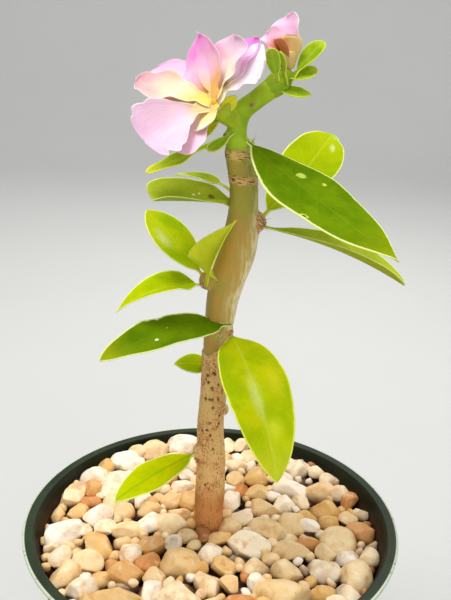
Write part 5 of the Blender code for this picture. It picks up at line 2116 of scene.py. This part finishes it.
class Leaves:
    """Every leaf of the stem, named as its node."""

    FIRST_SEED = 11.0
    PLANS = {
        "leaf_low_left": LeafPlan(
            Blade((-6.5, 1.0, 138.0), 217, -6, 38.5, 16.0, 13, 3, 4, 1, 8, (0.75, 0.8),
                  wave=0.3),
            {"body": srgb(196, 198, 4), "shade": srgb(170, 186, 6), "rib": srgb(140, 174, 10),
             "rib_width": 0.9, "rib_share": 0.6}),
        "leaf_behind_bark": LeafPlan(
            Blade((-1.6, 8.0, 173.0), 186, 8, 15.0, 12.5, 10, 2, 14, 1, 4, (0.65, 0.95)),
            {"body": srgb(170, 188, 8), "shade": srgb(148, 172, 8)}),
        "leaf_long_left": LeafPlan(
            Blade((3.0, -3.0, 194.0), 198, 3, 48.5, 19.0, 24, 12, 11, 6, 12, (0.55, 0.75),
                  stalk=0.03, wave=0.3),
            {**DARK_SKIN, "tip": srgb(182, 180, 26), "rib_share": 0.15, "low_margin": 1.6,
             "marks": (Mark(0.56, 0.30, 0.9, PALE_MARK), Mark(0.44, -0.3, 0.35, YELLOW_MARK),
                       Mark(0.48, -0.96, 0.9, PALE_MARK), Mark(0.56, -0.97, 0.7, PALE_MARK))},
            "dark_leaf", {"nicks": (Nick(0.47, -1.0, 1.1, 2.0), Nick(0.54, -1.0, 0.7, 1.4))}),
        "leaf_hanging_front": LeafPlan(
            Blade((5.6, -2.0, 189.0), -68, -15, 59.0, 24.5, 48, 0, -7, 6, 16, (0.55, 0.75),
                  stalk=0.02, wave=0.4),
            {"body": srgb(184, 192, 10), "shade": srgb(156, 178, 8), "rib": srgb(200, 214, 84),
             "rib_width": 0.8, "rib_share": 0.22, "margin": srgb(226, 234, 100), "veins": 9.0,
             "tip": srgb(212, 214, 56), "vein_share": 0.05,
             # The broad pale streak along the midrib is a painted sheen.
             "marks": (Mark(0.48, -0.06, 3.4, SHEEN_MARK, 0.0, 3.6, 0.32),
                       Mark(0.42, 0.62, 4.5, srgb(222, 206, 40), 0.0, 2.2, 0.5),
                       Mark(0.7, 0.3, 4.0, srgb(216, 218, 56), 0.0, 1.5, 0.5))}),
        "leaf_drooping_left": LeafPlan(
            Blade((-5.6, -0.8, 208.6), 184, 3, 34.5, 19.0, 44, -3, 9, -1, 20, (0.6, 1.0)),
            {"margin": srgb(236, 244, 150), "low_margin": 1.7}),
        "leaf_rising_left": LeafPlan(
            Blade((-5.8, 3.2, 211.0), 159, 46, 32.0, 20.5, 4, 4, 10, 5, 7, (0.8, 0.75)),
            {"body": srgb(184, 196, 16), "shade": srgb(148, 178, 10),
             # The paler right half is a painted sheen.
             "marks": (Mark(0.62, 0.45, 4.0, SHEEN_MARK, 0.0, 1.6, 0.45),)}),
        "leaf_folded_front": LeafPlan(
            Blade((-4.0, -3.6, 211.5), -29, 79, 26.0, 18.5, 28, 3, -68, 3, 42, (0.35, 1.5)),
            {"body": srgb(224, 228, 52), "shade": srgb(208, 214, 44), "under": srgb(226, 226, 60),
             "margin": srgb(226, 232, 80)}),
        "leaf_right_behind": LeafPlan(
            Blade((15.2, 3.6, 233.6), 45, 32, 53.5, 22.5, 5, 16, -12, -18, 6, (0.65, 0.5),
                  wave=0.4),
            {"body": srgb(160, 178, 8), "shade": srgb(144, 168, 8), "under": srgb(160, 178, 10),
             "marks": (Mark(0.97, -0.5, 1.2, YELLOW_MARK),
                       # The whitish patch is a painted sheen.
                       Mark(0.86, -0.4, 1.6, SHEEN_MARK, 0.1, 1.8, 0.6))},
            sheet={"nicks": (Nick(0.96, -1.0, 2.6, 1.3),)}),
        "leaf_right_edge_on": LeafPlan(
            Blade((16.0, 1.2, 230.6), -15, -6, 54.0, 18.0, 21, -7, -11, 24, 25, (1.1, 0.62),
                  stalk=0.02),
            {**OLIVE_SKIN, "under": srgb(170, 184, 52)}, "olive_leaf"),
        "leaf_upper_left": LeafPlan(
            Blade((4.4, 6.0, 238.6), 199, 5, 31.0, 21.5, 2, 14, 27, -21, 27, (0.52, 0.2),
                  stalk=0.02),
            {**OLIVE_SKIN, "marks": (
                Mark(0.47, -0.25, 0.5, PALE_MARK), Mark(0.40, -0.33, 0.4, PALE_MARK),
                Mark(0.26, -0.2, 1.5, srgb(122, 110, 38)))}, "olive_leaf"),
        "leaf_upper_back": LeafPlan(
            Blade((4.6, 7.2, 241.4), 156, 34, 24.0, 6.2, 44, 8, 12, 0, 10, (0.22, 0.75),
                  stalk=0.3),
            {**OLIVE_SKIN, "tip": srgb(214, 204, 96)}, "olive_leaf"),
        "leaf_dark_right": LeafPlan(
            Blade((9.0, -0.4, 260.6), -48, -25, 71.5, 28.0, -4, 2, -10, 8, -1, (0.95, 1.0),
                  stalk=0.02, wave=0.4),
            {**DARK_SKIN, "low_margin": 1.8, "rib_share": 0.2,
             "marks": (Mark(0.33, 0.35, 2.0, YELLOW_MARK), Mark(0.43, 0.60, 1.0, YELLOW_MARK),
                       Mark(0.59, -0.9, 1.7, YELLOW_MARK), Mark(0.59, -0.9, 0.8, BROWN_MARK),
                       Mark(0.36, -0.93, 0.5, BROWN_MARK))},
            "dark_leaf", {"vein": 0.04}),
        "leaf_under_bloom": LeafPlan(
            Blade((1.4, 0.6, 261.8), 190, -24, 30.5, 13.5, -2, 10, -13, 27, 5, (0.86, 0.89),
                  stalk=0.05, wave=0.4),
            {**OLIVE_SKIN, "body": srgb(160, 192, 16), "margin": srgb(228, 232, 90),
             "tip": srgb(224, 212, 40), "low_margin": 1.6}, "olive_leaf"),
        "shoot_leaf_low": LeafPlan(
            Blade((2.4, -1.8, 262.8), 220, -31, 10.6, 4.8, -9, 7, 19, 9, 10, (0.65, 0.42),
                  stalk=0.02, root=2.0),
            {**OLIVE_SKIN, "body": srgb(150, 190, 30)}, "olive_leaf"),
    }

    def build(self) -> None:
        """Make each leaf as its own piece."""
        for number, (name, plan) in enumerate(self.PLANS.items()):
            skin = LeafSkin(name + "_skin", plan.blade.length, **plan.skin)
            shape = Sheet(**plan.sheet).shape(plan.blade, self.FIRST_SEED + number)
            piece = Piece.mesh(name + "_fine", shape)
            Piece.finish(piece, skin, plan.slot, name)


# Blooms


@dataclass(frozen=True)
class PetalTint:
    """A petal's colours from its tip to its foot and on its back, and how pale its rim is."""

    tip: Color
    middle: Color
    foot: Color
    back: Color
    rim: float = 0.3

    CLOUD_SCALE = 0.16
    CLOUD_SHARE = 0.1
    MIDDLE_RANGE = (0.12, 0.42)
    TIP_RANGE = (0.5, 0.98)
    TIP_SPREAD = 0.15
    BACK_SHARE = 0.8

    def colors(self, shape: Shape, seed: float) -> np.ndarray:
        """Work out the colour at each point of a petal.

        Args:
            shape: The petal, with the attributes blade and under.
            seed: Makes the clouding its own.

        Returns:
            One colour a point.
        """
        along, across = shape.layers["blade"][:, 0], shape.layers["blade"][:, 1]
        t = along + self.CLOUD_SHARE * noise_at(shape.points, (self.CLOUD_SCALE,) * 3, seed)
        colors = (self.foot, self.middle, self.tip, self.back)
        foot, middle, tip, back = (np.array(color) for color in colors)
        low = smooth_step(t, *self.MIDDLE_RANGE)[:, None]
        high = smooth_step(t + self.TIP_SPREAD * np.abs(across), *self.TIP_RANGE)[:, None]
        color = foot * (1.0 - low) + middle * low
        color = color * (1.0 - high) + tip * high
        rear = back * low + foot * (1.0 - low)
        share = shape.layers["under"].reshape(-1, 1) * self.BACK_SHARE
        return color * (1.0 - share) + rear * share


PINK = srgb(246, 168, 222)
PALE_PINK = srgb(252, 222, 238)
CREAM = srgb(253, 236, 202)
YELLOW = srgb(244, 220, 112)
ORANGE = srgb(240, 178, 58)
THROAT_YELLOW = srgb(242, 204, 80)
RUSSET = srgb(206, 132, 84)
STRAW = srgb(222, 206, 120)


@dataclass(frozen=True)
class Petal:
    """One petal: its blade, its colours and the nicks in its margin."""

    blade: Blade
    tint: PetalTint
    nicks: tuple[Nick, ...] = ()


@dataclass
class Bloom:
    """One bloom, named as its node: its petals, its core and how thin and ruffled they are."""

    name: str
    petals: tuple[Petal, ...]
    core: tuple
    core_color: Color
    sheet: Sheet
    core_rings: int = 14
    core_sides: int = 28
    petal_ring: float = 2.0
    petal_root: float = 1.2
    first_seed: float = 31.0
    seed_step: float = 1.7

    def build(self) -> None:
        """Make the petals round the core, in one piece."""
        core = tube(smooth_path(self.core, self.core_rings), self.core_sides)
        whole = core.with_layers(blade=(0.1, 0.0, 4.0), under=0.0, tint=self.core_color, rim=0.0)
        for number, petal in enumerate(self.petals):
            blade = petal.blade
            aim = direction(np.radians(blade.compass), np.radians(blade.rise))
            start = tuple(np.array(blade.base) + aim * self.petal_ring)
            seed = self.first_seed + number * self.seed_step + len(self.petals)
            moved = replace(blade, base=start, length=blade.length - self.petal_ring,
                            root=self.petal_root)
            shape = replace(self.sheet, nicks=petal.nicks).shape(moved, seed)
            shape.layers["tint"] = petal.tint.colors(shape, seed)
            shape.layers["rim"] = np.full((len(shape.points), 1), petal.tint.rim)
            whole = whole.joined(shape)
        piece = Piece.mesh(self.name + "_petals", whole)
        Piece.finish(piece, PetalSilk("petal_silk"), "pink_petal", self.name)


THROAT = (-2.7, -8.0, 274.0)
BEHIND_THROAT = (-2.2, -7.4, 273.7)
BACK_THROAT = (-2.2, -4.6, 273.4)
SECOND_BASE = (22.1, 2.4, 285.2)

MAIN_BLOOM = Bloom(
    name="main_bloom",
    petals=(
        Petal(Blade(THROAT, -163, -19, 28.1, 23.6, 17, 23, 40, 14, 25, (1.24, 0.37), wave=0.4),
              PetalTint(srgb(253, 208, 234), srgb(255, 210, 228), srgb(248, 208, 150), PALE_PINK, 0.4),
              (Nick(0.4, 1.0, 1.6, 0.9), Nick(0.88, 1.0, 3.4, 1.0), Nick(0.7, 1.0, 1.0, 1.4),
               Nick(0.7, -1.0, 1.1, 1.2), Nick(0.9, -1.0, 1.6, 0.9))),
        Petal(Blade(THROAT, 169, 15.4, 28.9, 14.5, 10, -12, 35, 1, 14, (0.95, 0.57), wave=0.8),
              PetalTint(srgb(228, 172, 178), srgb(252, 226, 192), YELLOW, PALE_PINK, 0.5)),
        Petal(Blade(THROAT, 120, 48.4, 28.8, 17.8, -2, -18, 56, 14, 18, (0.63, 1.01), wave=0.6),
              PetalTint(srgb(242, 152, 214), srgb(254, 200, 222), srgb(246, 184, 104), PINK, 0.1),
              (Nick(0.86, 1.0, 1.6, 0.8),)),
        Petal(Blade(THROAT, 31, 62, 22.6, 17.8, -20, 17, 22, -13, 5, (1.0, 0.48), wave=0.8),
              PetalTint(srgb(254, 218, 238), srgb(255, 248, 224), srgb(252, 234, 168), PALE_PINK, 0.1)),
        Petal(Blade(THROAT, -10, 49.6, 21.9, 16.6, 22, -17, -38, -12, 5, (0.9, 0.18), wave=0.7),
              PetalTint(srgb(255, 234, 246), srgb(255, 230, 240), CREAM, PALE_PINK, 0.6),
              (Nick(0.84, -1.0, 1.4, 0.8),)),
        Petal(Blade(THROAT, -123, -45.5, 12.9, 13.8, -3, -11, -12, -6, 10, (0.57, 0.43)),
              PetalTint(srgb(255, 246, 216), srgb(255, 238, 170), srgb(248, 206, 96), CREAM, 0.2)),
        Petal(Blade(BACK_THROAT, 144, 29, 29.0, 17.0, 17, -2, 33, -8, 15, (0.64, 0.46), wave=0.3),
              PetalTint(srgb(244, 184, 216), srgb(250, 208, 222), YELLOW, PALE_PINK, 0.1)),
        Petal(Blade(BEHIND_THROAT, 26, 58.7, 24.7, 15.6, 2, 2, 1, -4, 3, (0.6, 0.25), wave=0.5),
              PetalTint(srgb(230, 148, 218), srgb(254, 226, 238), THROAT_YELLOW, PALE_PINK, 0.1)),
        Petal(Blade(BEHIND_THROAT, 92, 61.5, 17.7, 12.6, 5, 7, -2, -1, 7, (0.55, 0.5)),
              PetalTint(srgb(250, 184, 220), srgb(252, 208, 214), srgb(250, 200, 122), PALE_PINK, 0.0)),
        Petal(Blade(BEHIND_THROAT, -142, -44, 21.5, 17.0, 0, 0, 10, 0, 10, (1.0, 0.3), wave=0.5),
              PetalTint(srgb(252, 210, 234), srgb(252, 208, 216), THROAT_YELLOW, PALE_PINK, 0.4)),
        Petal(Blade(BACK_THROAT, 178, 4, 24.0, 11.0, 14, 0, 30, 0, 10, (0.9, 0.5)),
              PetalTint(srgb(252, 226, 206), srgb(252, 228, 176), YELLOW, CREAM, 0.0)),
    ),
    core=((-2.0, -7.2, 273.5, 1.6), (-2.7, -7.9, 274.0, 1.7), (-3.3, -8.5, 274.5, 0.9)),
    core_color=ORANGE,
    sheet=Sheet(steps=40, across=30, thickness=0.4, edge=0.26, softness=1.6, groove=0.0,
                keel=0.08, vein=0.02, veins=1.0, curl=0.5, crumple=0.32, crumple_scale=0.13,
                ruffle=0.7, ruffle_scale=0.2, jag=0.07, jag_scale=0.3, foot=3.0),
)

SECOND_BLOOM = Bloom(
    name="second_bloom",
    petals=(
        Petal(Blade(SECOND_BASE, 96, 66, 19.0, 12.0, 6, 8, 43, 11, 22, (0.6, 0.3), wave=0.5),
              PetalTint(srgb(255, 206, 236), srgb(252, 200, 232), CREAM, srgb(252, 206, 226), 0.5)),
        Petal(Blade(SECOND_BASE, 157, 61.5, 14.4, 11.5, 30, 6, 25, 8, 18, (0.64, 0.2), wave=0.5),
              PetalTint(srgb(250, 196, 222), srgb(214, 146, 112), STRAW, srgb(206, 138, 96), 0.1)),
        Petal(Blade(SECOND_BASE, -165, 62, 11.0, 10.5, 10, 0, 0, 0, 20, (0.55, 0.25)),
              PetalTint(srgb(214, 140, 108), srgb(214, 150, 104), STRAW, RUSSET, 0.0)),
        Petal(Blade(SECOND_BASE, -110, 78, 10.4, 8.8, 4, 0, 0, 0, 26, (0.55, 0.3)),
              PetalTint(srgb(236, 196, 150), srgb(240, 206, 142), STRAW, srgb(234, 200, 136), 0.0)),
        Petal(Blade(SECOND_BASE, 76, 86, 11.0, 7.5, -4, 0, 0, 0, 20, (0.55, 0.3)),
              PetalTint(srgb(244, 220, 184), CREAM, STRAW, srgb(236, 206, 160), 0.1)),
    ),
    core=((22.6, 2.5, 285.2, 1.0), (22.2, 2.4, 286.4, 1.9), (21.6, 2.4, 288.6, 3.0),
          (21.2, 2.4, 290.4, 3.0)),
    core_color=srgb(232, 196, 130),
    sheet=Sheet(steps=30, across=22, thickness=0.4, edge=0.26, softness=1.0, groove=0.0,
                keel=0.08, vein=0.02, veins=1.0, curl=0.3, crumple=0.2, crumple_scale=0.2,
                ruffle=0.4, ruffle_scale=0.3, jag=0.04, jag_scale=0.4, foot=1.6),
)


@dataclass
class Cup:
    """The green cup under a bloom, named as its node, with its bracts."""

    name: str
    path: tuple
    bracts: tuple[Blade, ...]
    body: Color
    tip: Color

    FIRST_SEED = 60.0
    RINGS, SIDES = 18, 32
    RIBS, RIB_DEPTH = 8, 0.05
    SHEET = Sheet(steps=26, across=12, thickness=0.6, edge=0.3, groove=0.12, keel=0.2, vein=0.0,
                  crumple=0.15, crumple_scale=0.25, jag=0.04)

    def build(self) -> None:
        """Make the ribbed cup and the bracts in one piece."""
        body = tube(smooth_path(self.path, self.RINGS), self.SIDES, self.RIBS, self.RIB_DEPTH)
        whole = body.with_layers(blade=(0.3, 0.3, 3.0), under=1.0)
        for number, bract in enumerate(self.bracts):
            whole = whole.joined(self.SHEET.shape(bract, self.FIRST_SEED + number))
        skin = LeafSkin(self.name + "_skin", 11.0, body=self.body, shade=srgb(124, 160, 24),
                        margin=srgb(214, 222, 84), tip=self.tip, rib=srgb(190, 204, 80),
                        under=srgb(150, 178, 50), margin_width=0.4)
        piece = Piece.mesh(self.name + "_fine", whole)
        Piece.finish(piece, skin, "green_cup", self.name)


CUPS = (
    Cup("main_bloom_cup",
        ((5, 1.6, 266.6, 2.6), (2.6, -1.4, 268.8, 3.2), (-0.2, -5, 271.8, 4.2),
         (-1.1, -6.2, 272.7, 3.2)),
        (Blade((-1, -7.6, 270.2), 10, 48, 8.1, 4.4, -1, 0, -74, 1, 12, (0.7, 0.75), root=0.8),
         Blade((-0.6, -3.4, 269), 215, -35, 11, 6.5, 10, 0, 10, 0, 14, (0.8, 0.5)),
         Blade((-0.6, -4, 270), 180, -15, 10, 5, 20, 0, 0, 0, 10, (0.8, 0.6)),
         Blade((1.8, -2.4, 270.4), 80, 40, 7, 5, 10, 0, 0, 0, 10, (0.8, 0.5))),
        srgb(232, 230, 58), srgb(250, 240, 70)),
    Cup("second_bloom_cup",
        ((15, 2, 277.7, 3.2), (17.5, 2, 279.6, 3.9), (19.8, 2.1, 281.6, 3.7),
         (21.4, 2.2, 283.2, 2.8), (22.2, 2.4, 284.4, 1.7)),
        (Blade((23.9, -0.4, 283.4), 11, 58, 14.3, 8.8, 19, 2, -22, -1, 13, (0.88, 0.51),
               root=3),
         Blade((21, 0.2, 282.2), -1, 12, 10.7, 6.9, -10, 0, -33, -2, 10, (0.74, 0.48)),
         Blade((18.4, 0.2, 278.6), -3, -10, 11.3, 6.7, -5, 0, -30, 3, 9, (0.58, 0.64)),
         Blade((17.8, -1.4, 281.6), -150, 73, 10.3, 5, 2, 0, -50, 0, 11, (0.8, 0.41)),
         Blade((20.5, -1.8, 282.6), -150, 74, 8.5, 4, 5, 0, 0, 0, 14, (0.8, 0.6))),
        srgb(158, 184, 36), srgb(206, 214, 60)),
)


# The studio


@dataclass(frozen=True)
class Lamp:
    """A square soft light: where it hangs, what it looks at, its side and its power in watts."""

    name: str
    at: Place
    side: float
    power: float
    color: tuple[float, float, float] = (1.0, 1.0, 1.0)
    target: Place = (0.0, 0.0, 0.17)


@dataclass
class Studio:
    """A pale round backdrop, soft lights and the camera, with places and sizes in metres."""

    lens: float = 45.0
    sensor: float = 36.0
    camera_at: Place = (0.0029, -0.2635, 0.2904)
    camera_tilt: float = 71.6
    camera_roll: float = 1.85
    lamps: tuple[Lamp, ...] = (
        Lamp("key", (-0.30, -0.10, 1.15), 0.45, 7.8, (1.0, 0.985, 0.96)),
        Lamp("rear", (0.20, 0.60, 0.95), 0.6, 4.6),
        Lamp("fill", (0.35, -1.1, 0.55), 0.9, 5.0, (0.99, 0.99, 1.0)),
        Lamp("wall", (0.0, 0.9, 1.5), 1.2, 10.0, (1.0, 1.0, 1.0), (0.0, 2.3, 0.7)),
    )
    sky: float = 0.62
    sky_color: Color = (0.9, 0.92, 0.95, 1.0)
    floor_radius: float = 1.6
    wall_radius: float = 2.4
    wall_height: float = 2.6
    thickness: float = 0.02
    sides: int = 96

    def build(self) -> None:
        """Set up backdrop, light and camera."""
        self._backdrop()
        for lamp in self.lamps:
            self._light(lamp)
        world = bpy.data.worlds.new("studio_sky")
        world.use_nodes = True
        background = world.node_tree.nodes["Background"]
        background.inputs["Color"].default_value = self.sky_color
        background.inputs["Strength"].default_value = self.sky
        bpy.context.scene.world = world
        bpy.context.scene.view_settings.view_transform = "Standard"
        self._camera()

    def _backdrop(self) -> None:
        """The floor, curved up into a round wall."""
        bend = self.wall_radius - self.floor_radius
        outside = self.wall_radius + self.thickness
        profile = [(0.0, -self.thickness), (outside, -self.thickness),
                   (outside, self.wall_height), (self.wall_radius, self.wall_height)]
        profile += arc((self.floor_radius, bend), bend, 0.0, -7.5, 13) + [(0.0, 0.0)]
        shape = lathe([(radius / MM, height / MM) for radius, height in profile], self.sides)
        floor = Piece.mesh("studio_floor", shape)
        floor.data.materials.append(StudioPaper("studio_paper").material())

    def _light(self, lamp: Lamp) -> None:
        """Hang one soft light.

        Args:
            lamp: Where the light is and what it is like.
        """
        data = bpy.data.lights.new(lamp.name, "AREA")
        data.size = lamp.side
        data.energy = lamp.power
        data.color = lamp.color
        made = bpy.data.objects.new(lamp.name, data)
        made.location = lamp.at
        aim = Vector(lamp.target) - Vector(lamp.at)
        made.rotation_euler = aim.to_track_quat("-Z", "Y").to_euler()
        bpy.context.scene.collection.objects.link(made)

    def _camera(self) -> None:
        """Put the camera where the picture was taken from."""
        data = bpy.data.cameras.new("camera")
        data.lens = self.lens
        data.sensor_width = self.sensor
        made = bpy.data.objects.new("camera", data)
        made.matrix_world = (Matrix.Translation(self.camera_at)
                             @ Matrix.Rotation(math.radians(self.camera_tilt), 4, "X")
                             @ Matrix.Rotation(math.radians(self.camera_roll), 4, "Z"))
        bpy.context.scene.collection.objects.link(made)
        bpy.context.scene.camera = made


def dress_soil() -> None:
    """Give the packed soil its earth."""
    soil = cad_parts["potting_soil"]
    soil.data.materials.clear()
    soil.data.materials.append(SoilEarth("potting_earth").material())
    LOG.info("potting_soil dressed")


def main() -> None:
    """Build the studio, then each part of the plant, and note the sizes."""
    logging.basicConfig(level=logging.INFO, format="%(message)s")
    Studio().build()
    NurseryPot().build()
    dress_soil()
    PebbleBed().build()
    Stem().build()
    Leaves().build()
    for cup in CUPS:
        cup.build()
    MAIN_BLOOM.build()
    SECOND_BLOOM.build()


if __name__ == "__main__":
    main()
